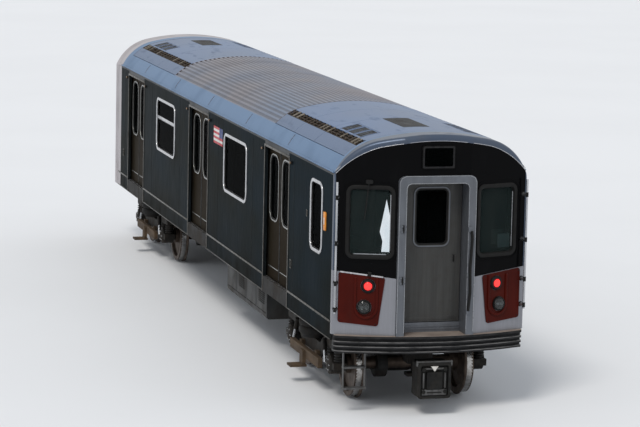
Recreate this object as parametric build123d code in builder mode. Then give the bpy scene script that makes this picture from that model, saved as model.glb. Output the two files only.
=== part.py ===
from build123d import *

import os
from math import asin, atan, cos, sin, tan

os.makedirs("parts", exist_ok=True)

# Metro end car. Lengths are in millimetres, +Z is up, and the driving end faces -Y.
# The car stands on the tips of its wheel flanges at z = 0, so each height above the
# rail has RAIL added to it. BITE is how far a piece reaches into the one it joins, PAST
# how far a cutter reaches past what it cuts, and EDGE_GAP the gap at a doorway's edges.
BITE = 5
PAST = 20
EDGE_GAP = 1

# Body envelope
RAIL = 27
HALF_W = 1295
ROOF_Z = RAIL + 3620
CROWN_R = 3300
CROWN_X = 750
SHOULDER_R = 789
SEAM_X = 1145
WALL_T = 155
SKIRT_T = 40
SKIRT_Z = RAIL + 930
FLOOR_Z = RAIL + 1145
FLOOR_T = 85
EAVE_Z = RAIL + 3070
CEILING_Z = RAIL + 3280
CEILING_X = 900
SIDE_FRONT_Y = -7400
SIDE_REAR_Y = 7227
CAP_REAR_Y = 7600
COUPLED_Y = 7825

# Doorways: centres along the car, one pair of leaves on each side
DOOR_YS = (-4436, 601, 5638)
DOOR_W = 1372
DOOR_TOP_Z = RAIL + 3000
LEAF_T = 40
LEAF_OUT_X = 1235
LEAF_HIDDEN = 35
LEAF_GAP = 4
LEAF_RISE = 10
POCKET_IN_X = 1185
POCKET_OUT_X = 1250
POCKET_DEPTH = 715
POCKET_TOP_Z = RAIL + 3045
LEAF_WINDOW = (460, 900)
LEAF_WINDOW_Z = RAIL + 2446
LEAF_WINDOW_R = 150

# Windows of the side walls: centre, width, lowest and highest edge
#               centre  width  low          high
SIDE_WINDOWS = (
    (-6600, 560, RAIL + 1980, RAIL + 2872),
    (-1920, 1420, RAIL + 2030, RAIL + 2850),
    (3120, 1420, RAIL + 2030, RAIL + 2850),
)
WINDOW_R = 110
GLASS_T = 8
GLASS_IN = 25

# Driving end, bowed in plan
NOSE_Y = -7740
NOSE_FLAT_X = 450
NOSE_CORNER_Y = -7460
NOSE_T = 95
NOSE_REACH = 500
NOSE_LOW_Z = RAIL + 1020
RAKE = atan((NOSE_CORNER_Y - NOSE_Y) / (HALF_W - NOSE_FLAT_X))
MASK_LOW = ((520, RAIL + 1763), (1278, RAIL + 1848))
MASK_CROWN = ((0, RAIL + 3535), (745, RAIL + 3447))
MASK_SHOULDER = ((1050, RAIL + 3302), (1278, RAIL + 3100))
MASK_SINK = 8
MASK_T = 22
MASK_BACK_Y = -7440
SCREEN_X = (570, 1130)
SCREEN_Z = (RAIL + 2045, RAIL + 2925)
SCREEN_R = 70
SCREEN_IN = 35
END_DOOR_W = 828
END_DOOR_TOP_Z = RAIL + 2990
END_FRAME_W = 104
END_FRAME_Y = -7766
END_LEAF_Y = -7460
LEAF_SETBACK = 14
FRONT_FRAME_BACK_Y = END_LEAF_Y + LEAF_SETBACK
END_FRAME_HALF = END_DOOR_W / 2 + END_FRAME_W
END_FRAME_TOP_Z = END_DOOR_TOP_Z + END_FRAME_W
END_WINDOW = (440, 730)
END_WINDOW_R = 70
END_WINDOW_Z = RAIL + 2527
FRAME_R = 90
#              x    z
TAIL_LAMP_AT = (858, RAIL + 1662)
HEAD_LAMP_AT = (902, RAIL + 1388)

# Running gear
BOGIE_YS = (-5485, 5485)
AXLE_HALF = 1041.5
WHEEL_R = 432
AXLE_Z = RAIL + WHEEL_R
JOURNAL_X = 965
BOLSTER_Z = RAIL + 900

# Equipment under the floor: centre x, centre y, width, length, low, high
INVERTER = (-640, -1950, 900, 2500, RAIL + 400, RAIL + 960)
BATTERY = (690, 1900, 800, 2100, RAIL + 430, RAIL + 960)
TANK_YS = (-2700, -1100)
TANK_R = 165
TANK_L = 1250

CROWN_TURN = asin(CROWN_X / CROWN_R)
SHOULDER_X = CROWN_X - SHOULDER_R * sin(CROWN_TURN)
SHOULDER_Z = ROOF_Z - CROWN_R * (1 - cos(CROWN_TURN)) - SHOULDER_R * cos(CROWN_TURN)
EAVE_TURN = asin((HALF_W - SHOULDER_X) / SHOULDER_R)
SEAM_TURN = asin((SEAM_X - SHOULDER_X) / SHOULDER_R)


def section_plane(y):
    """Plane across the car at y, with X to the right and Z up; it faces -Y."""
    return Plane(origin=(0, y, 0), x_dir=(1, 0, 0), z_dir=(0, -1, 0))


def side_plane(x):
    """Plane along the car at x, with Y to the right and Z up; it faces +X."""
    return Plane(origin=(x, 0, 0), x_dir=(0, 1, 0), z_dir=(1, 0, 0))


def arch(turn, inset=0):
    """Point of the roof arch at a turn from the crown, measured in radians."""
    if abs(turn) <= CROWN_TURN:
        r = CROWN_R - inset
        return (r * sin(turn), ROOF_Z - CROWN_R + r * cos(turn))
    side = 1 if turn > 0 else -1
    r = SHOULDER_R - inset
    return (side * SHOULDER_X + r * sin(turn), SHOULDER_Z + r * cos(turn))


def turn_at(x):
    """Turn of the roof arch whose outer point stands at x."""
    if abs(x) <= CROWN_X:
        return asin(x / CROWN_R)
    side = 1 if x > 0 else -1
    return asin((x - side * SHOULDER_X) / SHOULDER_R)


def arch_spans(start, end):
    """Split a stretch of the arch where its radius changes."""
    stops = [start] + [t for t in (-CROWN_TURN, CROWN_TURN) if start < t < end] + [end]
    return list(zip(stops[:-1], stops[1:]))


def arch_band(y, start, end, outer, inner):
    """Face of a curved plate that follows the roof, between two insets."""
    with BuildSketch(section_plane(y)) as band:
        with BuildLine():
            for a, b in arch_spans(start, end):
                ThreePointArc(arch(a, outer), arch((a + b) / 2, outer), arch(b, outer))
                ThreePointArc(arch(a, inner), arch((a + b) / 2, inner), arch(b, inner))
            Line(arch(start, outer), arch(start, inner))
            Line(arch(end, outer), arch(end, inner))
        make_face()
    return band.sketch


def body_section(y, inset, low):
    """Closed section of the car from a low level up to the roof arch."""
    half = HALF_W - inset
    left, right = arch(-EAVE_TURN, inset), arch(EAVE_TURN, inset)
    shoulders = [(-half, left[1]), (-half, low), (half, low), (half, right[1])]
    if not inset:
        shoulders = shoulders[1:3]
    with BuildSketch(section_plane(y)) as section:
        with BuildLine():
            for a, b in arch_spans(-EAVE_TURN, EAVE_TURN):
                ThreePointArc(arch(a, inset), arch((a + b) / 2, inset), arch(b, inset))
            Polyline(left, *shoulders, right)
        make_face()
    return section.sketch


def mask_section(y, gap=0):
    """Section of the black mask, whose arch leaves a visor that thins to the sides."""
    (_, top), (cx, cz) = MASK_CROWN
    (mx, mz), (ex, ez) = MASK_SHOULDER
    (ix, iz), (_, oz) = MASK_LOW
    top, cz, mz, mx, ex = top - gap, cz - gap, mz - gap, mx - gap, ex - gap
    iz, oz = iz + gap, oz + gap
    with BuildSketch(section_plane(y)) as section:
        with BuildLine():
            ThreePointArc((-cx, cz), (0, top), (cx, cz))
            for side in (-1, 1):
                ThreePointArc((side * cx, cz), (side * mx, mz), (side * ex, ez))
            Polyline((-ex, ez), (-ex, oz), (-ix, iz), (ix, iz), (ex, oz), (ex, ez))
        make_face()
    return section.sketch


def nose_points(inset):
    """Plan of the driving end at an inset from its outer face."""
    flat_x = NOSE_FLAT_X - inset * sin(RAKE) + inset * (1 - cos(RAKE)) / tan(RAKE)
    run = (HALF_W - inset - NOSE_FLAT_X + inset * sin(RAKE)) / cos(RAKE)
    corner_y = NOSE_Y + inset * cos(RAKE) + run * sin(RAKE)
    return flat_x, NOSE_Y + inset, HALF_W - inset, corner_y


def nose_band(z, outer, inner, back=SIDE_FRONT_Y):
    """Plan face of the bowed end between two insets."""
    fx, ny, cx, cy = nose_points(outer)
    gx, my, dx, dy = nose_points(inner)
    with BuildSketch(Plane.XY.offset(z)) as band:
        with BuildLine():
            Polyline(
                (-cx, back), (-cx, cy), (-fx, ny), (fx, ny), (cx, cy), (cx, back),
                (dx, back), (dx, dy), (gx, my), (-gx, my), (-dx, dy), (-dx, back),
                close=True,
            )
        make_face()
    return band.sketch


def nose_plan(z, inset, back=SIDE_FRONT_Y):
    """Filled plan face of the bowed end."""
    fx, ny, cx, cy = nose_points(inset)
    with BuildSketch(Plane.XY.offset(z)) as plan:
        with BuildLine():
            Polyline(
                (-cx, back), (-cx, cy), (-fx, ny), (fx, ny), (cx, cy), (cx, back),
                close=True,
            )
        make_face()
    return plan.sketch


def rake_plane(side, out=0):
    """Plane of one raked front face, X along the face, Z up, facing outwards."""
    shift_x, shift_y = side * out * sin(RAKE), -out * cos(RAKE)
    return Plane(
        origin=(side * NOSE_FLAT_X + shift_x, NOSE_Y + shift_y, 0),
        x_dir=(cos(RAKE), side * sin(RAKE), 0),
        z_dir=(side * sin(RAKE), -cos(RAKE), 0),
    )


def along_rake(x):
    """Distance along a raked face from its inner edge, for a half-width x."""
    return (x - NOSE_FLAT_X) / cos(RAKE)


def screen_face(side, out):
    """Outline of one windscreen on a plane that stands out from its raked face."""
    with BuildSketch(rake_plane(side, out)) as face:
        with Locations((side * along_rake(sum(SCREEN_X) / 2), sum(SCREEN_Z) / 2)):
            RectangleRounded(SCREEN_X[1] - SCREEN_X[0], SCREEN_Z[1] - SCREEN_Z[0], SCREEN_R)
    return face.sketch


def doorway_face(y, half, low, top, r):
    """Face across the car with round upper corners, such as a doorway or a leaf."""
    with BuildSketch(section_plane(y)) as face:
        with BuildLine():
            FilletPolyline((-half, low), (-half, top), (half, top), (half, low), radius=r)
            Line((-half, low), (half, low))
        make_face()
    return face.sketch


def room_section(y, inner, low):
    """Section of the space between the walls, from a low level up to the ceiling."""
    with BuildSketch(section_plane(y)) as room:
        with BuildLine():
            Polyline(
                (-inner, low), (-inner, EAVE_Z), (-CEILING_X, CEILING_Z),
                (CEILING_X, CEILING_Z), (inner, EAVE_Z), (inner, low), close=True,
            )
        make_face()
    return room.sketch


def save(part, name):
    part.label = name
    export_step(part, f"parts/{name}.step")


# Underframe: floor, sills, cross-members, bolsters and draft brackets
UNDER_Z = FLOOR_Z - FLOOR_T + BITE
SIDE_SILL_W = 110
CROSS_YS = (-3300, -1950, -600, 650, 1900, 3150)
CROSS_L = 2200
CROSS_W = 90
END_SILL_W = 120
CROSS_Z = RAIL + 960
LONG_SILL_X = 280
LONG_SILL_W = 70
LONG_SILL_Z = RAIL + 985
BOLSTER_L = 2320
BOLSTER_W = 560
PIVOT_R = 90
PIVOT_LOW_Z = RAIL + 500
PIN_R = 34
PIN_H = 180
DRAFT_Y = 7050
DRAFT_HALF = 170
COUPLER_Z = RAIL + 470
SWING_SLOT = (400, 720, 130)
SWING_SLOT_Y = DRAFT_Y + 200
DRAFT_PROFILE = (
    # y, z
    (6930, UNDER_Z),
    (7180, UNDER_Z),
    (7180, COUPLER_Z - 105),
    (7020, COUPLER_Z - 105),
    (6960, COUPLER_Z + 60),
    (6930, COUPLER_Z + 200),
)

with BuildPart() as underframe:
    fx, ny, cx, cy = nose_points(NOSE_T)
    skirt_x = HALF_W - SKIRT_T
    with BuildSketch(Plane.XY.offset(FLOOR_Z - FLOOR_T)):
        with BuildLine():
            Polyline(
                (-cx, SIDE_FRONT_Y), (-cx, cy), (-fx, ny), (fx, ny), (cx, cy),
                (cx, SIDE_FRONT_Y), (skirt_x, SIDE_FRONT_Y), (skirt_x, SIDE_REAR_Y),
                (-skirt_x, SIDE_REAR_Y), (-skirt_x, SIDE_FRONT_Y), close=True,
            )
        make_face()
        # room for the front door's frame
        with Locations((0, FRONT_FRAME_BACK_Y - NOSE_T * 2)):
            Rectangle(2 * END_FRAME_HALF, NOSE_T * 4, mode=Mode.SUBTRACT)
    extrude(amount=FLOOR_T)
    # side sills and threshold blocks
    with BuildSketch(Plane.XY.offset(SKIRT_Z)):
        for side in (-1, 1):
            sill_x = side * (skirt_x - SIDE_SILL_W / 2)
            with Locations((sill_x, (SIDE_FRONT_Y + SIDE_REAR_Y) / 2)):
                Rectangle(SIDE_SILL_W, SIDE_REAR_Y - SIDE_FRONT_Y)
            for y in DOOR_YS:
                with Locations((side * (HALF_W - SKIRT_T / 2 - BITE), y)):
                    Rectangle(SKIRT_T + 2 * BITE, DOOR_W - 2 * EDGE_GAP)
    extrude(amount=FLOOR_Z - SKIRT_Z)
    # cross-members between the bogies and the end sills
    with BuildSketch(Plane.XY.offset(CROSS_Z)):
        for y in CROSS_YS:
            with Locations((0, y)):
                Rectangle(CROSS_L, CROSS_W)
        for y in (SIDE_FRONT_Y + END_SILL_W / 2, SIDE_REAR_Y - END_SILL_W / 2):
            with Locations((0, y)):
                Rectangle(CROSS_L, END_SILL_W)
    extrude(amount=UNDER_Z - CROSS_Z)
    # longitudinal sills that carry the equipment
    with BuildSketch(Plane.XY.offset(LONG_SILL_Z)):
        with Locations((-LONG_SILL_X, 0), (LONG_SILL_X, 0)):
            Rectangle(LONG_SILL_W, 2 * BOGIE_YS[1] - BOLSTER_W + 2 * BITE)
    extrude(amount=UNDER_Z - LONG_SILL_Z)
    # body bolsters with their centre pins
    with BuildSketch(Plane.XY.offset(BOLSTER_Z)):
        for y in BOGIE_YS:
            with Locations((0, y)):
                Rectangle(BOLSTER_L, BOLSTER_W)
    extrude(amount=UNDER_Z - BOLSTER_Z)
    with BuildSketch(Plane.XY.offset(PIVOT_LOW_Z)):
        for y in BOGIE_YS:
            with Locations((0, y)):
                Circle(PIVOT_R)
    extrude(amount=BOLSTER_Z + BITE - PIVOT_LOW_Z)
    # centre sill stubs that carry the draft pins, slotted so that the couplers swing
    slot_w, slot_l, slot_h = SWING_SLOT
    for side in (-1, 1):
        with BuildSketch(side_plane(-DRAFT_HALF)):
            with BuildLine():
                Polyline(*[(side * y, z) for y, z in DRAFT_PROFILE], close=True)
            make_face()
        extrude(amount=2 * DRAFT_HALF)
        with BuildSketch(Plane.XY.offset(COUPLER_Z - slot_h / 2)):
            with Locations((0, side * SWING_SLOT_Y)):
                Rectangle(slot_w, slot_l)
        extrude(amount=slot_h, mode=Mode.SUBTRACT)
        with BuildSketch(Plane.XY.offset(COUPLER_Z - PIN_H / 2)):
            with Locations((0, side * DRAFT_Y)):
                Circle(PIN_R)
        extrude(amount=PIN_H)
save(underframe.part, "underframe")


# Side walls: four sections a side, each with its door pockets and windows
SECTIONS = (
    # start, end, pocket at start, pocket at end
    (SIDE_FRONT_Y, DOOR_YS[0] - DOOR_W / 2, False, True),
    (DOOR_YS[0] + DOOR_W / 2, DOOR_YS[1] - DOOR_W / 2, True, True),
    (DOOR_YS[1] + DOOR_W / 2, DOOR_YS[2] - DOOR_W / 2, True, True),
    (DOOR_YS[2] + DOOR_W / 2, SIDE_REAR_Y, True, False),
)


def wall_face(side, y):
    """Section of a side wall: the thick wall above the floor and the skirt below it."""
    inner = side * (HALF_W - WALL_T)
    skirt = side * (HALF_W - SKIRT_T)
    outer = side * HALF_W
    with BuildSketch(section_plane(y)) as face:
        with BuildLine():
            Polyline(
                (outer, SKIRT_Z), (outer, EAVE_Z), (inner, EAVE_Z), (inner, FLOOR_Z),
                (skirt, FLOOR_Z), (skirt, SKIRT_Z), close=True,
            )
        make_face()
    return face.sketch


for name, side in (("side_wall_left", -1), ("side_wall_right", 1)):
    with BuildPart() as wall:
        for start, end, pocket_start, pocket_end in SECTIONS:
            extrude(wall_face(side, end), amount=end - start)
        # door pockets
        slot_x = side * (POCKET_IN_X + POCKET_OUT_X) / 2
        with BuildSketch(Plane.XY.offset(FLOOR_Z)):
            for y in DOOR_YS:
                with Locations((slot_x, y)):
                    Rectangle(POCKET_OUT_X - POCKET_IN_X, DOOR_W + 2 * POCKET_DEPTH)
        extrude(amount=POCKET_TOP_Z - FLOOR_Z, mode=Mode.SUBTRACT)
        # windows
        with BuildSketch(side_plane(side * HALF_W)):
            for y, width, low, high in SIDE_WINDOWS:
                with Locations((y, (low + high) / 2)):
                    RectangleRounded(width, high - low, WINDOW_R)
        extrude(amount=WALL_T + PAST, both=True, mode=Mode.SUBTRACT)
    save(wall.part, name)

with BuildPart() as side_glass:
    for side in (-1, 1):
        for y, width, low, high in SIDE_WINDOWS:
            with BuildSketch(side_plane(side * (HALF_W - GLASS_IN) - GLASS_T / 2)):
                with Locations((y, (low + high) / 2)):
                    RectangleRounded(width, high - low, WINDOW_R)
            extrude(amount=GLASS_T)
save(side_glass.part, "side_glass")


# Roof: smooth cove and ends, fluted middle, and a sunk bed for each roof unit
FLUTES_PER_SIDE = 16
FLUTE_R = 30
FLUTE_DEPTH = 14
BED_SINK = 32
DRIP_R = 11
DRIP_AT = (HALF_W - 2, EAVE_Z + 38)
FRONT_BED = (-7330, -3700)
REAR_BED = (3130, 6750)


def roof_face(y):
    """Section of the roof between its arch and the ceiling."""
    inner = HALF_W - WALL_T
    with BuildSketch(section_plane(y)) as face:
        with BuildLine():
            for a, b in arch_spans(-EAVE_TURN, EAVE_TURN):
                ThreePointArc(arch(a), arch((a + b) / 2), arch(b))
            Polyline(
                arch(-EAVE_TURN), (-HALF_W, EAVE_Z), (-inner, EAVE_Z), (-CEILING_X, CEILING_Z),
                (CEILING_X, CEILING_Z), (inner, EAVE_Z), (HALF_W, EAVE_Z), arch(EAVE_TURN),
            )
        make_face()
    return face.sketch


def flute_centre(step):
    """Centre of a flute's round cutter, spaced evenly along the arch."""
    crown_run = CROWN_R * CROWN_TURN
    half_run = crown_run + SHOULDER_R * (SEAM_TURN - CROWN_TURN)
    run = (abs(step) - 0.5) * half_run / FLUTES_PER_SIDE
    if run <= crown_run:
        turn = run / CROWN_R
    else:
        turn = CROWN_TURN + (run - crown_run) / SHOULDER_R
    return arch(turn if step > 0 else -turn, FLUTE_DEPTH - FLUTE_R)


with BuildPart() as roof:
    extrude(roof_face(SIDE_REAR_Y), amount=SIDE_REAR_Y - SIDE_FRONT_Y)
    for start, end in (FRONT_BED, REAR_BED):
        band = arch_band(end, -SEAM_TURN, SEAM_TURN, -PAST, BED_SINK)
        extrude(band, amount=end - start, mode=Mode.SUBTRACT)
    # flutes along the middle, from bed to bed
    start, end = FRONT_BED[1], REAR_BED[0]
    steps = [s for s in range(-FLUTES_PER_SIDE, FLUTES_PER_SIDE + 1) if s]
    with BuildSketch(section_plane(end)):
        with Locations(*[flute_centre(s) for s in steps]):
            Circle(FLUTE_R)
    extrude(amount=end - start, mode=Mode.SUBTRACT)
    # drip beads along both eaves
    drip_x, drip_z = DRIP_AT
    with BuildSketch(section_plane(SIDE_REAR_Y)):
        with Locations((-drip_x, drip_z), (drip_x, drip_z)):
            Circle(DRIP_R)
    extrude(amount=SIDE_REAR_Y - SIDE_FRONT_Y)
    # headers over the doorways, grooved for the leaves
    for side in (-1, 1):
        for y in DOOR_YS:
            with BuildSketch(section_plane(y + DOOR_W / 2 - EDGE_GAP)):
                with Locations((side * (HALF_W - WALL_T / 2), (DOOR_TOP_Z + EAVE_Z) / 2)):
                    Rectangle(WALL_T, EAVE_Z - DOOR_TOP_Z)
                with Locations((side * (POCKET_IN_X + POCKET_OUT_X) / 2, DOOR_TOP_Z)):
                    Rectangle(POCKET_OUT_X - POCKET_IN_X, 2 * (POCKET_TOP_Z - DOOR_TOP_Z),
                              mode=Mode.SUBTRACT)
            extrude(amount=DOOR_W - 2 * EDGE_GAP)
save(roof.part, "roof")

# Covers of the roof units: a lid, a trough and a flap each side, sunk in the beds
UNIT_T = 30
UNIT_GAP = 8
RIM_TURN = SEAM_TURN - UNIT_GAP / SHOULDER_R
TROUGH_X = (850, 980)
GRILLE_X = (600, 830)
GRILLE_ROWS = (450, 800, 1150)
GRILLE_PITCH = 46
GRILLE_SLOT = (26, 240)
GRILLE_SLOT_R = 10
LID_SEAMS = (0.42, 0.71)
SEAM_W = 8
with BuildPart() as roof_units:
    for (start, end), rows_from, way in ((FRONT_BED, FRONT_BED[0], 1),
                                         (REAR_BED, REAR_BED[1], -1)):
        low, high = start + UNIT_GAP, end - UNIT_GAP
        turn_in, turn_out = (turn_at(x) for x in TROUGH_X)
        for a, b in ((-turn_in, turn_in), (-RIM_TURN, -turn_out), (turn_out, RIM_TURN)):
            extrude(arch_band(high, a, b, BED_SINK - UNIT_T, BED_SINK), amount=high - low)
        # short slots of the intake grilles, in rows counted from the end of the car
        with BuildSketch(Plane.XY.offset(CEILING_Z + PAST)):
            for side in (-1, 1):
                for row in GRILLE_ROWS:
                    with Locations((side * sum(GRILLE_X) / 2, rows_from + way * row)):
                        with GridLocations(GRILLE_PITCH, 0, 5, 1):
                            RectangleRounded(*GRILLE_SLOT, GRILLE_SLOT_R)
        extrude(amount=ROOF_Z - CEILING_Z, mode=Mode.SUBTRACT)
        # seams between the lids
        for share in LID_SEAMS:
            seam_y = low + (high - low) * share
            band = arch_band(seam_y + SEAM_W / 2, -RIM_TURN, RIM_TURN, -PAST,
                             BED_SINK - UNIT_T + SEAM_W)
            extrude(band, amount=SEAM_W, mode=Mode.SUBTRACT)
save(roof_units.part, "roof_units")


# Driving end shell: silver lower panels, jambs and the visor round the roof
VISOR_R = 55
MASK_GAP = 3
with BuildPart() as front_end:
    extrude(nose_plan(NOSE_LOW_Z, 0), amount=ROOF_Z + PAST - NOSE_LOW_Z)
    extrude(body_section(SIDE_FRONT_Y + PAST, 0, NOSE_LOW_Z - PAST), amount=NOSE_REACH,
            mode=Mode.INTERSECT)
    visor = front_end.edges().filter_by(
        lambda e: e.center().Z > EAVE_Z + PAST and e.center().Y < NOSE_CORNER_Y + PAST
    )
    fillet(visor, VISOR_R)
    # hollow inside, under the ceiling
    room = extrude(room_section(SIDE_FRONT_Y + PAST, HALF_W - NOSE_T, NOSE_LOW_Z - PAST),
                   amount=NOSE_REACH, mode=Mode.PRIVATE)
    inside = extrude(nose_plan(NOSE_LOW_Z - PAST, NOSE_T, SIDE_FRONT_Y + PAST),
                     amount=ROOF_Z, mode=Mode.PRIVATE)
    add(room & inside, mode=Mode.SUBTRACT)
    # recess of the mask
    recess = extrude(nose_band(SKIRT_Z, -PAST, MASK_SINK + MASK_T, MASK_BACK_Y),
                     amount=ROOF_Z, mode=Mode.PRIVATE)
    cover = extrude(mask_section(SIDE_FRONT_Y), amount=NOSE_REACH, mode=Mode.PRIVATE)
    add(recess & cover, mode=Mode.SUBTRACT)
    # doorway and windscreens
    extrude(doorway_face(SIDE_FRONT_Y, END_FRAME_HALF, NOSE_LOW_Z - PAST, END_FRAME_TOP_Z, FRAME_R),
            amount=NOSE_REACH, mode=Mode.SUBTRACT)
    for side in (-1, 1):
        extrude(screen_face(side, PAST), amount=-2 * NOSE_T, mode=Mode.SUBTRACT)
save(front_end.part, "front_end")

with BuildPart() as front_mask:
    extrude(nose_band(SKIRT_Z, MASK_SINK, MASK_SINK + MASK_T, MASK_BACK_Y), amount=ROOF_Z)
    extrude(mask_section(SIDE_FRONT_Y, MASK_GAP), amount=NOSE_REACH, mode=Mode.INTERSECT)
    extrude(doorway_face(SIDE_FRONT_Y, END_FRAME_HALF, NOSE_LOW_Z - PAST, END_FRAME_TOP_Z, FRAME_R),
            amount=NOSE_REACH, mode=Mode.SUBTRACT)
    for side in (-1, 1):
        extrude(screen_face(side, PAST), amount=-2 * NOSE_T, mode=Mode.SUBTRACT)
save(front_mask.part, "front_mask")

with BuildPart() as front_glass:
    for side in (-1, 1):
        extrude(screen_face(side, -SCREEN_IN), amount=GLASS_T)
save(front_glass.part, "front_glass")

# Lamp panels on the raked faces, each with a raised rim round its two lamps
PANEL_CORNERS = (
    # x, z
    (650, RAIL + 1773),
    (1222, RAIL + 1837),
    (1222, RAIL + 1183),
    (730, RAIL + 1138),
)
PANEL_T = 14
PANEL_R = 35
LAMP_HOLE_R = 96
RIM_X = (TAIL_LAMP_AT[0] + HEAD_LAMP_AT[0]) / 2
RIM_TOP_Z = RAIL + 1774
RIM_R = 122
RIM_W = 36
RIM_T = 32
RIM_EDGE_R = 9

with BuildPart() as lamp_panels:
    for side in (-1, 1):
        with BuildSketch(rake_plane(side)):
            with BuildLine():
                Polyline(*[(side * along_rake(x), z) for x, z in PANEL_CORNERS], close=True)
            face = make_face()
            fillet(face.vertices(), PANEL_R)
            for x, z in (TAIL_LAMP_AT, HEAD_LAMP_AT):
                with Locations((side * along_rake(x), z)):
                    Circle(LAMP_HOLE_R, mode=Mode.SUBTRACT)
        extrude(amount=PANEL_T)
        # the rim is open at the top
        low_z = HEAD_LAMP_AT[1]
        with BuildSketch(rake_plane(side)):
            for r, mode in ((RIM_R + RIM_W, Mode.ADD), (RIM_R, Mode.SUBTRACT)):
                with Locations((side * along_rake(RIM_X), (RIM_TOP_Z + low_z) / 2)):
                    Rectangle(2 * r, RIM_TOP_Z - low_z, mode=mode)
                with Locations((side * along_rake(RIM_X), low_z)):
                    Circle(r, mode=mode)
        rim = extrude(amount=RIM_T)
        top_face = rim.faces().filter_by(rake_plane(side)).sort_by(
            lambda f: f.distance_to(rake_plane(side).origin)
        )[-1]
        fillet(top_face.edges(), RIM_EDGE_R)
save(lamp_panels.part, "lamp_panels")

# Lamps: a round housing with a smaller lens standing out of it
LAMP_R = 92
LAMP_T = 22
LENS_T = 10
TAIL_LENS_R = 70
HEAD_LENS_R = 84
for name, (x, z), lens_r in (("tail_lamps", TAIL_LAMP_AT, TAIL_LENS_R),
                             ("head_lamps", HEAD_LAMP_AT, HEAD_LENS_R)):
    with BuildPart() as lamps:
        for side in (-1, 1):
            with BuildSketch(rake_plane(side)):
                with Locations((side * along_rake(x), z)):
                    Circle(LAMP_R)
            extrude(amount=LAMP_T)
            with BuildSketch(rake_plane(side, LAMP_T)):
                with Locations((side * along_rake(x), z)):
                    Circle(lens_r)
            extrude(amount=LENS_T)
    save(lamps.part, name)

# End door frames and leaves. The front frame's legs stand on the anticlimber with a
# ribbed threshold under the leaf; the rear one has a sill through the end wall. A leaf's
# upper corners are rounder than the doorway's, which keeps them clear as it swings.
CAP_WALL = 80
SILL_H = 120
FRAME_PROUD = 20
REAR_LEAF_Y = CAP_REAR_Y - 220
DOORWAY_R = 60
LEAF_R = 80
LEAF_CLEAR = 10
BEZEL_W = 28
BEZEL_T = 10
STRIP_H = 16
STRIP_ZS = (RAIL + 1063, RAIL + 1098)
ENDS = (
    # frame, leaf, face of the frame, way out, leaf's inner face, foot, lowest opening
    ("front_door_frame", "front_door", END_FRAME_Y, -1, END_LEAF_Y,
     NOSE_LOW_Z, NOSE_LOW_Z - LEAF_CLEAR),
    ("rear_door_frame", "rear_door", CAP_REAR_Y + FRAME_PROUD, 1, REAR_LEAF_Y,
     FLOOR_Z - SILL_H, FLOOR_Z),
)
END_LEAF_W = END_DOOR_W - 2 * LEAF_CLEAR

for frame_name, leaf_name, face_y, out, leaf_y, foot_z, open_z in ENDS:
    back_y = leaf_y - out * LEAF_SETBACK
    outer_y = leaf_y + out * LEAF_T
    with BuildPart() as frame:
        inner_y, depth = max(face_y, back_y), abs(face_y - back_y)
        extrude(
            doorway_face(inner_y, END_FRAME_HALF, foot_z, END_FRAME_TOP_Z, FRAME_R),
            amount=depth,
        )
        extrude(doorway_face(inner_y, END_DOOR_W / 2, open_z, END_DOOR_TOP_Z, DOORWAY_R),
                amount=depth, mode=Mode.SUBTRACT)
        if out < 0:
            with BuildSketch(section_plane(back_y)):
                with Locations((0, (foot_z + FLOOR_Z) / 2)):
                    Rectangle(END_DOOR_W + 2 * LEAF_CLEAR, FLOOR_Z - foot_z)
            extrude(amount=back_y - outer_y)
            with BuildSketch(section_plane(outer_y)):
                with Locations(*[(0, z) for z in STRIP_ZS]):
                    Rectangle(END_DOOR_W + 2 * LEAF_CLEAR, STRIP_H)
            extrude(amount=BEZEL_T)
        else:
            # under the floor the frame is only as deep as the wall
            with BuildSketch(section_plane(CAP_REAR_Y - CAP_WALL)):
                with Locations((0, FLOOR_Z - SILL_H)):
                    Rectangle(2 * HALF_W, 2 * SILL_H)
            extrude(amount=CAP_REAR_Y, mode=Mode.SUBTRACT)
    save(frame.part, frame_name)
    with BuildPart() as leaf:
        inner_y = max(leaf_y, outer_y)
        extrude(
            doorway_face(inner_y, END_LEAF_W / 2, FLOOR_Z + LEAF_CLEAR,
                         END_DOOR_TOP_Z - LEAF_CLEAR, LEAF_R),
            amount=LEAF_T,
        )
        with BuildSketch(section_plane(inner_y)):
            with Locations((0, END_WINDOW_Z)):
                RectangleRounded(*END_WINDOW, END_WINDOW_R)
        extrude(amount=LEAF_T, mode=Mode.SUBTRACT)
        # bezel round the window
        with BuildSketch(section_plane(max(outer_y, outer_y + out * BEZEL_T))):
            with Locations((0, END_WINDOW_Z)):
                RectangleRounded(END_WINDOW[0] + 2 * BEZEL_W, END_WINDOW[1] + 2 * BEZEL_W,
                                 END_WINDOW_R + BEZEL_W)
                RectangleRounded(*END_WINDOW, END_WINDOW_R, mode=Mode.SUBTRACT)
        extrude(amount=BEZEL_T)
    save(leaf.part, leaf_name)

# Destination sign box over the front door
SIGN_Z = RAIL + 3330
SIGN_SIZE = (440, 300)
SIGN_BORDER = 30
SIGN_R = 30
SIGN_T = 22
SIGN_SINK = 8
with BuildPart() as route_sign:
    with BuildSketch(section_plane(NOSE_Y + MASK_SINK)):
        with Locations((0, SIGN_Z)):
            RectangleRounded(*SIGN_SIZE, SIGN_R)
    extrude(amount=SIGN_T)
    with BuildSketch(section_plane(NOSE_Y + MASK_SINK - SIGN_T)):
        with Locations((0, SIGN_Z)):
            RectangleRounded(*[size - 2 * SIGN_BORDER for size in SIGN_SIZE], SIGN_R / 2)
    extrude(amount=-SIGN_SINK, mode=Mode.SUBTRACT)
save(route_sign.part, "route_sign")

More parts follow.
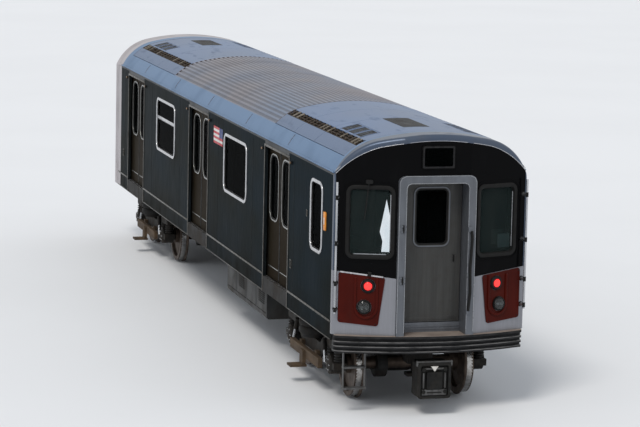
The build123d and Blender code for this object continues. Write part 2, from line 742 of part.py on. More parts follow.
# Rear end: a plain moulded cap with rounded corners
CAP_R = 70
with BuildPart() as rear_end:
    extrude(body_section(CAP_REAR_Y, 0, SKIRT_Z), amount=CAP_REAR_Y - SIDE_REAR_Y)
    rim = rear_end.faces().sort_by(Axis.Y)[-1].edges().filter_by(
        lambda e: e.center().Z > SKIRT_Z + PAST
    )
    fillet(rim, CAP_R)
    extrude(room_section(CAP_REAR_Y - CAP_WALL, HALF_W - WALL_T, FLOOR_Z),
            amount=CAP_REAR_Y - SIDE_REAR_Y, mode=Mode.SUBTRACT)
    extrude(doorway_face(CAP_REAR_Y + PAST, END_FRAME_HALF, FLOOR_Z - SILL_H, END_FRAME_TOP_Z,
                         FRAME_R),
            amount=CAP_WALL + PAST, mode=Mode.SUBTRACT)
save(rear_end.part, "rear_end")

# Side door leaves: closed at rest, each slides into the wall beside its doorway
LEAF_W = DOOR_W / 2 + LEAF_HIDDEN - LEAF_GAP
LEAF_LOW_Z = FLOOR_Z + LEAF_RISE
LEAF_HIGH_Z = POCKET_TOP_Z - LEAF_RISE
LEAF_RING_W = 25
LEAF_RING_T = 4
for place, door_y in zip(("front", "middle", "back"), DOOR_YS):
    for side_name, side in (("left", -1), ("right", 1)):
        for way_name, way in (("a", -1), ("b", 1)):
            centre_y = door_y + way * (LEAF_GAP + LEAF_W / 2)
            window_y = door_y + way * (DOOR_W / 4)
            with BuildPart() as leaf:
                inner_x = side * LEAF_OUT_X - (LEAF_T if side > 0 else 0)
                with BuildSketch(side_plane(inner_x)):
                    with Locations((centre_y, (LEAF_LOW_Z + LEAF_HIGH_Z) / 2)):
                        Rectangle(LEAF_W, LEAF_HIGH_Z - LEAF_LOW_Z)
                    with Locations((window_y, LEAF_WINDOW_Z)):
                        RectangleRounded(*LEAF_WINDOW, LEAF_WINDOW_R, mode=Mode.SUBTRACT)
                extrude(amount=LEAF_T)
                # raised ring round the window
                with BuildSketch(side_plane(side * LEAF_OUT_X - (LEAF_RING_T if side < 0 else 0))):
                    with Locations((window_y, LEAF_WINDOW_Z)):
                        RectangleRounded(*[size + 2 * LEAF_RING_W for size in LEAF_WINDOW],
                                         LEAF_WINDOW_R + LEAF_RING_W)
                        RectangleRounded(*LEAF_WINDOW, LEAF_WINDOW_R, mode=Mode.SUBTRACT)
                extrude(amount=LEAF_RING_T)
            save(leaf.part, f"door_{place}_{side_name}_{way_name}")

# Anticlimber: bowed beam the width of the car, with ribs that lock into another's
BEAM_HALF = 1268
BEAM_TOP_Z = RAIL + 1020
BEAM_LOW_Z = RAIL + 790
BEAM_FRONT_Y = NOSE_Y - 5
BEAM_CORNER_Y = -7480
BEAM_CORNER_R = 45
SHELF_T = 34
RIB_H = 24
RIB_PITCH = 62
BEAM_HOLLOW = (1000, 400)
BEAM_RIBS = (
    # low, high, how far it stands out
    (BEAM_LOW_Z, BEAM_TOP_Z, 0),
    (BEAM_LOW_Z, BEAM_LOW_Z + RIB_H, 42),
    (BEAM_LOW_Z + RIB_PITCH, BEAM_LOW_Z + RIB_PITCH + RIB_H, 46),
    (BEAM_LOW_Z + 2 * RIB_PITCH, BEAM_LOW_Z + 2 * RIB_PITCH + RIB_H, 50),
    (BEAM_TOP_Z - SHELF_T, BEAM_TOP_Z, 56),
)
with BuildPart() as anticlimber:
    for low, high, out in BEAM_RIBS:
        with BuildSketch(Plane.XY.offset(low)):
            with BuildLine():
                front, corner = BEAM_FRONT_Y - out, BEAM_CORNER_Y - out
                ThreePointArc((-BEAM_HALF, corner), (0, front), (BEAM_HALF, corner))
                Polyline(
                    (-BEAM_HALF, corner), (-BEAM_HALF, SIDE_FRONT_Y),
                    (BEAM_HALF, SIDE_FRONT_Y), (BEAM_HALF, corner),
                )
            face = make_face()
            fillet(face.vertices().group_by(Axis.Y)[0], BEAM_CORNER_R)
        extrude(amount=high - low)
    # hollow behind the ribs, under the shelf
    with BuildSketch(Plane.XY.offset(BEAM_LOW_Z)):
        with Locations((0, SIDE_FRONT_Y)):
            Rectangle(*BEAM_HOLLOW)
    extrude(amount=BEAM_TOP_Z - BEAM_LOW_Z - SHELF_T, mode=Mode.SUBTRACT)
save(anticlimber.part, "anticlimber")

# Step ladder at the driving end, hung from the anticlimber
LADDER_X = (-1120, -830)
LADDER_Y = -7440
LADDER_LOW_Z = RAIL + 270
UPRIGHT_SIZE = (12, 60)
STEP_L = LADDER_X[1] - LADDER_X[0] + UPRIGHT_SIZE[0]
STEPS = (
    # low, depth along the car, thickness
    (RAIL + 285, 90, 25),
    (RAIL + 560, 90, 25),
    (BEAM_LOW_Z - 14, 60, 14),
)
with BuildPart() as step_ladder:
    with BuildSketch(Plane.XY.offset(LADDER_LOW_Z)):
        with Locations(*[(x, LADDER_Y) for x in LADDER_X]):
            Rectangle(*UPRIGHT_SIZE)
    extrude(amount=BEAM_LOW_Z - LADDER_LOW_Z)
    for low, depth, thickness in STEPS:
        with BuildSketch(Plane.XY.offset(low)):
            with Locations((sum(LADDER_X) / 2, LADDER_Y)):
                Rectangle(STEP_L, depth)
        extrude(amount=thickness)
save(step_ladder.part, "step_ladder")

# Grab rails at both corners of the driving end
GRAB_STAND = 70
GRAB_X = 1256
GRAB_Z = (RAIL + 1300, RAIL + 3000)
GRAB_R = 15
GRAB_FOOT_R = 22
GRAB_FEET = (
    # z, how far its seat stands out
    (RAIL + 1350, 0),
    (RAIL + 1690, 0),
    (RAIL + 2210, -MASK_SINK),
    (RAIL + 2800, -MASK_SINK),
)
with BuildPart() as grab_rails:
    for side in (-1, 1):
        reach = side * along_rake(GRAB_X)
        foot = rake_plane(side, GRAB_STAND).from_local_coords((reach, 0, 0))
        with BuildSketch(Plane.XY.offset(GRAB_Z[0])):
            with Locations((foot.X, foot.Y)):
                Circle(GRAB_R)
        extrude(amount=GRAB_Z[1] - GRAB_Z[0])
        for z, seat in GRAB_FEET:
            with BuildSketch(rake_plane(side, seat)):
                with Locations((reach, z)):
                    Circle(GRAB_FOOT_R)
            extrude(amount=GRAB_STAND - seat)
save(grab_rails.part, "grab_rails")

# Wiper over the left windscreen: its motor's cover with the arm and blade in one bar
WIPER_CAP = (90, 50, 45)
WIPER_CAP_AT = (870, RAIL + 3010)
WIPER_CAP_R = 15
WIPER_BAR = (16, 500, 10)
WIPER_BAR_AT = (898, RAIL + 2770)
WIPER_OUT = 16
WIPER_LEAN = -6
with BuildPart() as wiper:
    with BuildSketch(rake_plane(-1, -MASK_SINK)):
        with Locations((-along_rake(WIPER_CAP_AT[0]), WIPER_CAP_AT[1])):
            RectangleRounded(*WIPER_CAP[:2], WIPER_CAP_R)
    extrude(amount=WIPER_CAP[2])
    with BuildSketch(rake_plane(-1, WIPER_OUT)):
        with Locations((-along_rake(WIPER_BAR_AT[0]), WIPER_BAR_AT[1])):
            Rectangle(*WIPER_BAR[:2], WIPER_LEAN)
    extrude(amount=WIPER_BAR[2])
save(wiper.part, "wiper")

# Coil spring of an axle box, its turns rounded, standing on the origin
SPRING_R = 53
SPRING_GROOVE = 12
SPRING_LOW = AXLE_Z + 20
SPRING_H = RAIL + 660 - SPRING_LOW
SPRING_TURNS = 5
with BuildPart() as spring:
    with BuildSketch(Plane.XZ):
        with BuildLine():
            pitch = SPRING_H / SPRING_TURNS
            core = SPRING_R - SPRING_GROOVE
            for turn in range(SPRING_TURNS):
                z = turn * pitch
                ThreePointArc((core, z), (SPRING_R, z + pitch / 2), (core, z + pitch))
            Polyline((core, 0), (0, 0), (0, SPRING_H), (core, SPRING_H))
        make_face()
    revolve(axis=Axis.Z)

# Bogie frames, motors and shoe gear
SIDE_FRAME_T = 110
SIDE_FRAME_R = 30
SIDE_FRAME = (
    # along the car from the bogie's centre, z; one half of the profile
    (1300, RAIL + 770),
    (700, RAIL + 770),
    (430, RAIL + 600),
    (-430, RAIL + 600),
    (-700, RAIL + 770),
    (-1300, RAIL + 770),
    (-1300, RAIL + 640),
    (-760, RAIL + 620),
    (-470, RAIL + 420),
    (470, RAIL + 420),
    (760, RAIL + 620),
    (1300, RAIL + 640),
)
AXLE_BOX_R = 135
AXLE_BOX_T = 180
AXLE_BOX_WING = (470, 90)
SPRING_AT = 175
JOURNAL_BORE_R = 72
COVER_X = JOURNAL_X + 85
COVER_R = 112
COVER_EDGE = 12
COVER_ARC = (
    # radius, how far it stands out
    (96, 20),
    (68, 32),
    (36, 36),
)
BRAKE_X = (718, 806)
BRAKE_Y = (250, 640)
BRAKE_Z = AXLE_Z + 40
BRAKE_H = 150
BRAKE_GAP = 9
TRANSOM_Z = RAIL + 440
TRANSOM_H = 150
TRANSOM_Y = 210
TRANSOM_W = 130
BOWL_R = 250
BOWL_BORE_R = 98
MOTOR_Y = 560
MOTOR_R = 205
MOTOR_L = 600
MOTOR_SHIFT = 30
MOTOR_FINS = 20
FIN_SIZE = (26, 10)
FIN_L = 400
GEAR_X = (300, 440)
GEAR_R = (150, 190)
GEAR_H = 260
GEAR_BORE_R = 90
HANGER_Y = 325
HANGER_Z = RAIL + 515
HANGER_SIZE = (100, 110, 300)
SHOE_BEAM_X = 1100
SHOE_BEAM = (60, 1500, 130)
SHOE_BEAM_Z = RAIL + 315
SHOE_X = 1225
SHOE_SIZE = (230, 200, 30)
SHOE_Z = RAIL + 200
SHOE_ARM_X = 1145
SHOE_ARM = (50, 160, 220)
SHOE_FOOT = (55, 100, 60)
SHOE_FOOT_Y = 400
for place, centre_y in zip(("front", "rear"), BOGIE_YS):
    with BuildPart() as bogie:
        for side in (-1, 1):
            with BuildSketch(side_plane(side * JOURNAL_X - SIDE_FRAME_T / 2)):
                with BuildLine():
                    Polyline(*[(centre_y + y, z) for y, z in SIDE_FRAME], close=True)
                face = make_face()
                fillet(face.vertices(), SIDE_FRAME_R)
            extrude(amount=SIDE_FRAME_T)
            for way in (-1, 1):
                axle_y = centre_y + way * AXLE_HALF
                # axle box with the springs on its wings
                with BuildSketch(side_plane(side * JOURNAL_X)):
                    with Locations((axle_y, AXLE_Z)):
                        Circle(AXLE_BOX_R)
                        Rectangle(*AXLE_BOX_WING)
                extrude(amount=AXLE_BOX_T / 2, both=True)
                with Locations((side * JOURNAL_X, axle_y - SPRING_AT, SPRING_LOW),
                               (side * JOURNAL_X, axle_y + SPRING_AT, SPRING_LOW)):
                    add(spring.part)
                with BuildSketch(side_plane(side * JOURNAL_X)):
                    with Locations((axle_y, AXLE_Z)):
                        Circle(JOURNAL_BORE_R)
                extrude(amount=AXLE_BOX_T / 2 + PAST, both=True, mode=Mode.SUBTRACT)
                # domed cover over the end of the axle
                with BuildSketch(Plane(origin=(side * COVER_X, axle_y, AXLE_Z),
                                       x_dir=(0, 1, 0), z_dir=(0, 0, 1))):
                    with BuildLine():
                        dome = [(r, -side * out) for r, out in COVER_ARC]
                        Polyline((0, 0), (COVER_R, 0), (COVER_R, -side * COVER_EDGE), dome[0])
                        ThreePointArc(*dome)
                        Polyline(dome[-1], (0, dome[-1][1]), (0, 0))
                    make_face()
                revolve(axis=Axis((0, axle_y, AXLE_Z), (1, 0, 0)))
                # tread brake unit, hung from the transom
                low_y, high_y = sorted(centre_y + way * y for y in BRAKE_Y)
                with BuildSketch(side_plane(min(side * x for x in BRAKE_X))):
                    with Locations(((low_y + high_y) / 2, BRAKE_Z)):
                        RectangleRounded(high_y - low_y, BRAKE_H, SIDE_FRAME_R)
                    with Locations((axle_y, AXLE_Z)):
                        Circle(WHEEL_R + BRAKE_GAP, mode=Mode.SUBTRACT)
                extrude(amount=BRAKE_X[1] - BRAKE_X[0])
        # transom with the centre bowl
        with BuildSketch(Plane.XY.offset(TRANSOM_Z)):
            with Locations((0, centre_y - TRANSOM_Y), (0, centre_y + TRANSOM_Y)):
                Rectangle(2 * JOURNAL_X, TRANSOM_W)
            with Locations((0, centre_y)):
                Circle(BOWL_R)
        extrude(amount=TRANSOM_H)
        with BuildSketch(Plane.XY.offset(TRANSOM_Z - PAST)):
            with Locations((0, centre_y)):
                Circle(BOWL_BORE_R)
        extrude(amount=TRANSOM_H + 2 * PAST, mode=Mode.SUBTRACT)
    save(bogie.part, f"bogie_frame_{place}")

    with BuildPart() as motors:
        for way in (-1, 1):
            motor_y = centre_y + way * MOTOR_Y
            axle_y = centre_y + way * AXLE_HALF
            motor_x = way * MOTOR_SHIFT
            with BuildSketch(side_plane(motor_x - MOTOR_L / 2)):
                with Locations((motor_y, AXLE_Z)):
                    Circle(MOTOR_R)
            body = extrude(amount=MOTOR_L)
            fillet(body.edges().filter_by(GeomType.CIRCLE), SIDE_FRAME_R)
            with BuildSketch(side_plane(motor_x - FIN_L / 2)):
                for step in range(MOTOR_FINS):
                    turn = 360 * (step + 0.5) / MOTOR_FINS
                    with Locations(Location((motor_y, AXLE_Z, 0), (0, 0, turn))):
                        with Locations((MOTOR_R, 0)):
                            Rectangle(*FIN_SIZE)
            extrude(amount=FIN_L)
            # gear case from the motor to the axle, and the motor's hanger
            gear_x = min(way * x for x in GEAR_X)
            with BuildSketch(side_plane(gear_x)):
                with Locations((motor_y, AXLE_Z)):
                    Circle(GEAR_R[0])
                with Locations((axle_y, AXLE_Z)):
                    Circle(GEAR_R[1])
                with Locations(((motor_y + axle_y) / 2, AXLE_Z)):
                    Rectangle(AXLE_HALF - MOTOR_Y, GEAR_H)
            extrude(amount=GEAR_X[1] - GEAR_X[0])
            with BuildSketch(side_plane(gear_x - PAST)):
                with Locations((axle_y, AXLE_Z)):
                    Circle(GEAR_BORE_R)
            extrude(amount=GEAR_X[1] - GEAR_X[0] + 2 * PAST, mode=Mode.SUBTRACT)
            with BuildSketch(side_plane(-HANGER_SIZE[2] / 2)):
                with Locations((centre_y + way * HANGER_Y, HANGER_Z)):
                    Rectangle(*HANGER_SIZE[:2])
            extrude(amount=HANGER_SIZE[2])
    save(motors.part, f"traction_motors_{place}")

    # contact shoes on arms from a beam outside the axle boxes
    with BuildPart() as shoes:
        for side in (-1, 1):
            with BuildSketch(Plane.XY.offset(SHOE_BEAM_Z)):
                with Locations((side * SHOE_BEAM_X, centre_y)):
                    Rectangle(*SHOE_BEAM[:2])
            extrude(amount=SHOE_BEAM[2])
            with BuildSketch(Plane.XY.offset(SHOE_Z)):
                with Locations((side * SHOE_X, centre_y)):
                    Rectangle(*SHOE_SIZE[:2])
            extrude(amount=SHOE_SIZE[2])
            with BuildSketch(Plane.XY.offset(SHOE_Z)):
                with Locations((side * SHOE_ARM_X, centre_y)):
                    Rectangle(*SHOE_ARM[:2])
            extrude(amount=SHOE_ARM[2])
            foot_x = side * (JOURNAL_X + SIDE_FRAME_T / 2 + SHOE_FOOT[0] / 2)
            with BuildSketch(Plane.XY.offset(RAIL + 425)):
                with Locations((foot_x, centre_y - SHOE_FOOT_Y), (foot_x, centre_y + SHOE_FOOT_Y)):
                    Rectangle(*SHOE_FOOT[:2])
            extrude(amount=SHOE_FOOT[2])
    save(shoes.part, f"shoe_gear_{place}")

# Wheelsets: axle, hubs, webs, rims and flanges in one turned piece
WHEEL_PROFILE = (
    # across from the axle's middle, radius
    (0, 0),
    (0, 82),
    (600, 82),
    (640, 130),
    (690, 130),
    (735, 350),
    (680, 365),
    (680, 450),
    (692, 459),
    (706, 455),
    (716, 436),
    (815, 429),
    (815, 365),
    (770, 350),
    (780, 130),
    (835, 130),
    (850, 67),
    (1040, 67),
    (1040, 0),
)
axle_ys = [y + way * AXLE_HALF for y in BOGIE_YS for way in (-1, 1)]
for number, axle_y in enumerate(axle_ys, start=1):
    with BuildPart() as wheelset:
        with BuildSketch(Plane(origin=(0, axle_y, AXLE_Z), x_dir=(1, 0, 0), z_dir=(0, -1, 0))):
            with BuildLine():
                Polyline(*WHEEL_PROFILE, close=True)
            make_face()
        revolve(axis=Axis((0, axle_y, AXLE_Z), (1, 0, 0)))
        mirror(about=Plane.YZ)
    save(wheelset.part, f"wheelset_{number}")

# Air springs between the bolsters and the bogie side frames, with two bulging folds
AIR_X = 960
AIR_LOW_Z = RAIL + 606
AIR_TOP = BOLSTER_Z - AIR_LOW_Z
AIR_BASE_R = 190
AIR_BASE_H = 34
AIR_NECK_R = 205
AIR_FOLD_R = 240
AIR_FOLD_H = 112
AIR_HEAD_R = 200
with BuildPart() as air_springs:
    for y in BOGIE_YS:
        for side in (-1, 1):
            with BuildSketch(Plane(origin=(side * AIR_X, y, AIR_LOW_Z), x_dir=(1, 0, 0),
                                   z_dir=(0, -1, 0))):
                with BuildLine():
                    Polyline((0, 0), (AIR_BASE_R, 0), (AIR_BASE_R, AIR_BASE_H),
                             (AIR_NECK_R, AIR_BASE_H))
                    for low in (AIR_BASE_H, AIR_BASE_H + AIR_FOLD_H):
                        ThreePointArc((AIR_NECK_R, low), (AIR_FOLD_R, low + AIR_FOLD_H / 2),
                                      (AIR_NECK_R, low + AIR_FOLD_H))
                    high = AIR_BASE_H + 2 * AIR_FOLD_H
                    Polyline((AIR_NECK_R, high), (AIR_HEAD_R, high), (AIR_HEAD_R, AIR_TOP),
                             (0, AIR_TOP), (0, 0))
                make_face()
            revolve(axis=Axis((side * AIR_X, y, 0), (0, 0, 1)))
save(air_springs.part, "air_springs")

# Cases under the floor, each with doors along its outer face, set back in their frames
CASE_R = 40
CASE_DOORS = 4
CASE_DOOR_SINK = 12
CASE_POST_W = 60
CASE_BAND_H = 65
CASE_DOOR_RISE = 15
for name, (case_x, case_y, width, length, low, high) in (("inverter_case", INVERTER),
                                                         ("battery_case", BATTERY)):
    with BuildPart() as case:
        with BuildSketch(Plane.XY.offset(low)):
            with Locations((case_x, case_y)):
                Rectangle(width, length)
        extrude(amount=high - low)
        fillet(case.edges().filter_by(Axis.Y).group_by(Axis.Z)[0], CASE_R)
        pitch = length / CASE_DOORS
        face_x = case_x + (width / 2 if case_x > 0 else -width / 2)
        first_y = case_y - length / 2 + pitch / 2
        door_z = (low + high) / 2 + CASE_DOOR_RISE
        with Locations(*[(face_x, first_y + pitch * step, door_z) for step in range(CASE_DOORS)]):
            Box(2 * CASE_DOOR_SINK, pitch - CASE_POST_W, high - low - 2 * CASE_BAND_H,
                mode=Mode.SUBTRACT)
    save(case.part, name)

# Air tanks with domed ends, hung in straps from the floor
TANK_X = 780
TANK_Z = RAIL + 760
TANK_DOME = 80
DOME_MIDDLE = (0.7, 0.72)
STRAP_Y = 400
STRAP_W = 40
with BuildPart() as air_tanks:
    for y in TANK_YS:
        end, rim = TANK_L / 2, TANK_L / 2 - TANK_DOME
        middle = rim + DOME_MIDDLE[0] * TANK_DOME
        with BuildSketch(Plane(origin=(TANK_X, y, TANK_Z), x_dir=(0, 1, 0), z_dir=(1, 0, 0))):
            with BuildLine():
                for way in (-1, 1):
                    ThreePointArc((way * end, 0), (way * middle, DOME_MIDDLE[1] * TANK_R),
                                  (way * rim, TANK_R))
                Line((-rim, TANK_R), (rim, TANK_R))
                Line((-end, 0), (end, 0))
            make_face()
        revolve(axis=Axis((TANK_X, 0, TANK_Z), (0, 1, 0)))
        with BuildSketch(Plane.XY.offset(TANK_Z)):
            with Locations((TANK_X, y - STRAP_Y), (TANK_X, y + STRAP_Y)):
                Rectangle(2 * TANK_R, STRAP_W)
        extrude(amount=FLOOR_Z - FLOOR_T - TANK_Z)
save(air_tanks.part, "air_tanks")

# Front coupler and rear link bar, each swinging on its draft pin
EYE_R = 85
EYE_H = 110
EYE_BORE_R = PIN_R + 5
SHANK_W = 130
HEAD_Y = 7540
HEAD_Z = RAIL + 440
HEAD_SIZE = (440, 470)
HEAD_R = 40
TROUGH = (370, 400)
TROUGH_R = 25
TROUGH_DEPTH = 45
FACE_SIZE = (210, 220)
FACE_R = 20
GUIDE_AT = (145, 145)
GUIDE_R = 26
with BuildPart() as coupler_front:
    with BuildSketch(Plane.XY.offset(COUPLER_Z - EYE_H / 2)):
        with Locations((0, -DRAFT_Y)):
            Circle(EYE_R)
        with Locations((0, -(DRAFT_Y + HEAD_Y + BITE) / 2)):
            Rectangle(SHANK_W, HEAD_Y + BITE - DRAFT_Y)
    extrude(amount=EYE_H)
    with BuildSketch(section_plane(-HEAD_Y)):
        with Locations((0, HEAD_Z)):
            RectangleRounded(*HEAD_SIZE, HEAD_R)
    extrude(amount=COUPLED_Y - HEAD_Y)
    # trough round the flat middle of the face, with the guide pins standing in it
    with BuildSketch(section_plane(TROUGH_DEPTH - COUPLED_Y)):
        with Locations((0, HEAD_Z)):
            RectangleRounded(*TROUGH, TROUGH_R)
            RectangleRounded(*FACE_SIZE, FACE_R, mode=Mode.SUBTRACT)
            with GridLocations(2 * GUIDE_AT[0], 2 * GUIDE_AT[1], 2, 2):
                Circle(GUIDE_R, mode=Mode.SUBTRACT)
    extrude(amount=TROUGH_DEPTH + PAST, mode=Mode.SUBTRACT)
    with BuildSketch(Plane.XY.offset(COUPLER_Z - EYE_H)):
        with Locations((0, -DRAFT_Y)):
            Circle(EYE_BORE_R)
    extrude(amount=2 * EYE_H, mode=Mode.SUBTRACT)
save(coupler_front.part, "coupler_front")

LINK_W = 110
LINK_END_R = 80
LINK_EYE_R = 30
LINK_EYE_Y = COUPLED_Y - LINK_END_R
with BuildPart() as coupler_rear:
    with BuildSketch(Plane.XY.offset(COUPLER_Z - EYE_H / 2)):
        with Locations((0, DRAFT_Y)):
            Circle(EYE_R)
        with Locations((0, (DRAFT_Y + LINK_EYE_Y) / 2)):
            Rectangle(LINK_W, LINK_EYE_Y - DRAFT_Y)
        with Locations((0, LINK_EYE_Y)):
            Circle(LINK_END_R)
    extrude(amount=EYE_H)
    with BuildSketch(Plane.XY.offset(COUPLER_Z - EYE_H)):
        with Locations((0, DRAFT_Y)):
            Circle(EYE_BORE_R)
        with Locations((0, LINK_EYE_Y)):
            Circle(LINK_EYE_R)
    extrude(amount=2 * EYE_H, mode=Mode.SUBTRACT)
save(coupler_rear.part, "coupler_rear")

# Benches along both walls
BENCH_GAP = 90
CAB_BENCH_L = 770
BENCHES = (
    # start, end
    (DOOR_YS[0] - DOOR_W / 2 - BENCH_GAP - CAB_BENCH_L, DOOR_YS[0] - DOOR_W / 2 - BENCH_GAP),
    (DOOR_YS[0] + DOOR_W / 2 + BENCH_GAP, DOOR_YS[1] - DOOR_W / 2 - BENCH_GAP),
    (DOOR_YS[1] + DOOR_W / 2 + BENCH_GAP, DOOR_YS[2] - DOOR_W / 2 - BENCH_GAP),
    (DOOR_YS[2] + DOOR_W / 2 + BENCH_GAP, SIDE_REAR_Y - 60),
)
BENCH_PROFILE = (
    # across from the middle of the car, height over the floor
    (1138, 0),
    (1138, 830),
    (1095, 830),
    (1060, 440),
    (700, 450),
    (690, 400),
    (820, 380),
    (860, 0),
)
SEAT_H = 440
SEAT_PITCH = 440
SCOOP_R = 700
SCOOP_DEPTH = 26
SCOOP_X = (700, 1060)
with BuildPart() as benches:
    for side in (-1, 1):
        for start, end in BENCHES:
            with BuildSketch(section_plane(end)):
                with BuildLine():
                    Polyline(*[(side * x, FLOOR_Z + h) for x, h in BENCH_PROFILE], close=True)
                make_face()
            extrude(amount=end - start)
            # one shallow scoop for each seat
            seats = max(1, round((end - start) / SEAT_PITCH))
            with BuildSketch(side_plane(min(side * x for x in SCOOP_X))):
                for seat in range(seats):
                    seat_y = start + (end - start) * (seat + 0.5) / seats
                    with Locations((seat_y, FLOOR_Z + SEAT_H + SCOOP_R - SCOOP_DEPTH)):
                        Circle(SCOOP_R)
            extrude(amount=SCOOP_X[1] - SCOOP_X[0], mode=Mode.SUBTRACT)
save(benches.part, "benches")

# Handrails: stanchions at the bench ends with an overhead rail on each side
PARTITION_Y = -6100
POLE_R = 17
POLE_X = 680
POLE_GAP = 25
POLE_FREE = 100
OVERHEAD_Z = FLOOR_Z + 1900
with BuildPart() as handrails:
    for side in (-1, 1):
        with BuildSketch(Plane.XY.offset(FLOOR_Z)):
            for start, end in BENCHES:
                for y in (start - POLE_GAP, end + POLE_GAP):
                    # none beside the cab partition or the rear end
                    if PARTITION_Y + POLE_FREE < y < SIDE_REAR_Y - POLE_FREE:
                        with Locations((side * POLE_X, y)):
                            Circle(POLE_R)
        extrude(amount=CEILING_Z - FLOOR_Z)
        start, end = BENCHES[0][0] - POLE_GAP, BENCHES[-1][1] - POLE_FREE
        with BuildSketch(section_plane(end)):
            with Locations((side * POLE_X, OVERHEAD_Z)):
                Circle(POLE_R)
        extrude(amount=end - start)
save(handrails.part, "handrails")

# Cab: partition, its door, desk and seat
PARTITION_T = 40
PASSAGE = (740, 1900)
CAB_DOOR = (716, 1880, 36)
CAB_DOOR_LOW = FLOOR_Z + 10
CAB_WINDOW = (360, 600)
CAB_WINDOW_R = 60
CAB_WINDOW_Z = FLOOR_Z + 1400
with BuildPart() as cab_partition:
    extrude(room_section(PARTITION_Y, HALF_W - WALL_T, FLOOR_Z), amount=PARTITION_T)
    extrude(doorway_face(PARTITION_Y, PASSAGE[0] / 2, FLOOR_Z - PAST, FLOOR_Z + PASSAGE[1], BITE),
            amount=PARTITION_T, mode=Mode.SUBTRACT)
save(cab_partition.part, "cab_partition")

with BuildPart() as cab_door:
    with BuildSketch(section_plane(PARTITION_Y)):
        with Locations((0, CAB_DOOR_LOW + CAB_DOOR[1] / 2)):
            Rectangle(*CAB_DOOR[:2])
        with Locations((0, CAB_WINDOW_Z)):
            RectangleRounded(*CAB_WINDOW, CAB_WINDOW_R, mode=Mode.SUBTRACT)
    extrude(amount=CAB_DOOR[2])
save(cab_door.part, "cab_door")

DESK_X = -1080
DESK_W = 560
DESK_PROFILE = (
    # y, height over the floor
    (-7330, 0),
    (-7330, 960),
    (-7230, 960),
    (-6960, 820),
    (-6960, 760),
    (-7120, 720),
    (-7120, 0),
)
with BuildPart() as cab_desk:
    with BuildSketch(side_plane(DESK_X)):
        with BuildLine():
            Polyline(*[(y, FLOOR_Z + h) for y, h in DESK_PROFILE], close=True)
        make_face()
    extrude(amount=DESK_W)
save(cab_desk.part, "cab_desk")

CAB_SEAT_X = -800
SEAT_POST_R = 50
CAB_SEAT = (
    # centre y, across, along the car, corner radius, low, high
    (-6520, 440, 420, 60, 420, 510),
    (-6330, 420, 70, 30, 505, 965),
)
with BuildPart() as cab_seat:
    with BuildSketch(Plane.XY.offset(FLOOR_Z)):
        with Locations((CAB_SEAT_X, CAB_SEAT[0][0])):
            Circle(SEAT_POST_R)
    extrude(amount=CAB_SEAT[0][5] - BITE)
    for y, across, along, r, low, high in CAB_SEAT:
        with BuildSketch(Plane.XY.offset(FLOOR_Z + low)):
            with Locations((CAB_SEAT_X, y)):
                RectangleRounded(across, along, r)
        extrude(amount=high - low)
save(cab_seat.part, "cab_seat")
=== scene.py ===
"""Finishes and fittings of a metro end car, laid out as a Blender add-on."""

import math
import random

import bmesh
import bpy
from bpy.props import FloatProperty, FloatVectorProperty, IntProperty, PointerProperty
from mathutils import Matrix, Vector


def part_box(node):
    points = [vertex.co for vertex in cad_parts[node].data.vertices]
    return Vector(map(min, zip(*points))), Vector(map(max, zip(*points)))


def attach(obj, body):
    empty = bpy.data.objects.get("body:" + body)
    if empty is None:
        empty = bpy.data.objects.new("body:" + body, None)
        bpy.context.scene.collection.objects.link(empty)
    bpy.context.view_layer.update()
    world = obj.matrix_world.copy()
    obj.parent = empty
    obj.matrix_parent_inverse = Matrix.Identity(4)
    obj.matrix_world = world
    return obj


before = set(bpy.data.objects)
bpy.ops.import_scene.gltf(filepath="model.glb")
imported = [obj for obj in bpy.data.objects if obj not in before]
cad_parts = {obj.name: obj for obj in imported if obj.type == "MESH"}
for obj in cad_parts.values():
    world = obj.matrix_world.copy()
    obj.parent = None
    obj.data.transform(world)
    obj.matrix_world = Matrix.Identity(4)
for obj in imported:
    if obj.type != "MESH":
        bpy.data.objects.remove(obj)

bl_info = {
    "name": "Metro End Car Fittings",
    "version": (1, 0, 0),
    "blender": (4, 5, 0),
    "location": "View3D > Sidebar > Metro Car",
    "description": "Paints a metro end car and adds its glazing, lamps, trim and gear details",
    "category": "Object",
}

# Body of the car, read from the frame. Lengths are in metres and heights are above
# the tips of the wheel flanges, RAIL below the top of the rail.
RAIL = 0.027
SIDES = (("left", -1), ("right", 1))
HALF_W, SIDE_REAR_Y, EAVE_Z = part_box("side_wall_right")[1]
_, SIDE_FRONT_Y, SKIRT_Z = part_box("side_wall_right")[0]
ROOF_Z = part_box("roof")[1].z
NOSE_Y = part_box("front_end")[0].y
FLOOR_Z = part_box("benches")[0].z
GLASS_OUT_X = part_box("side_glass")[1].x

# Side doorways, and every leaf as its node, side, way from the middle and doorway. The
# leaf's window is width, height and corner, and the lamp is place from the middle and height.
DOOR_PLACES = ("front", "middle", "back")
LEAF_GAP = 0.004
DOOR_YS = [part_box(f"door_{place}_left_a")[1].y + LEAF_GAP for place in DOOR_PLACES]
LEAVES = [(f"door_{place}_{name}_{leaf}", side, way, y)
          for place, y in zip(DOOR_PLACES, DOOR_YS)
          for name, side in SIDES for leaf, way in (("a", -1), ("b", 1))]
LEAF_OUT_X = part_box("door_front_right_a")[1].x - 0.004
LEAF_LOW_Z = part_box("door_front_right_a")[0].z
LEAF_TOP_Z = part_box("door_front_right_a")[1].z
LEAF_WINDOW = (0.46, 0.9, 0.15)
LEAF_WINDOW_Z = RAIL + 2.446
DOOR_W = 1.372
DOOR_TOP_Z = RAIL + 3.0
DOOR_LAMP = (0.81, RAIL + 2.95)
SILL_X = 1.246
SILL_PITCH = 0.008

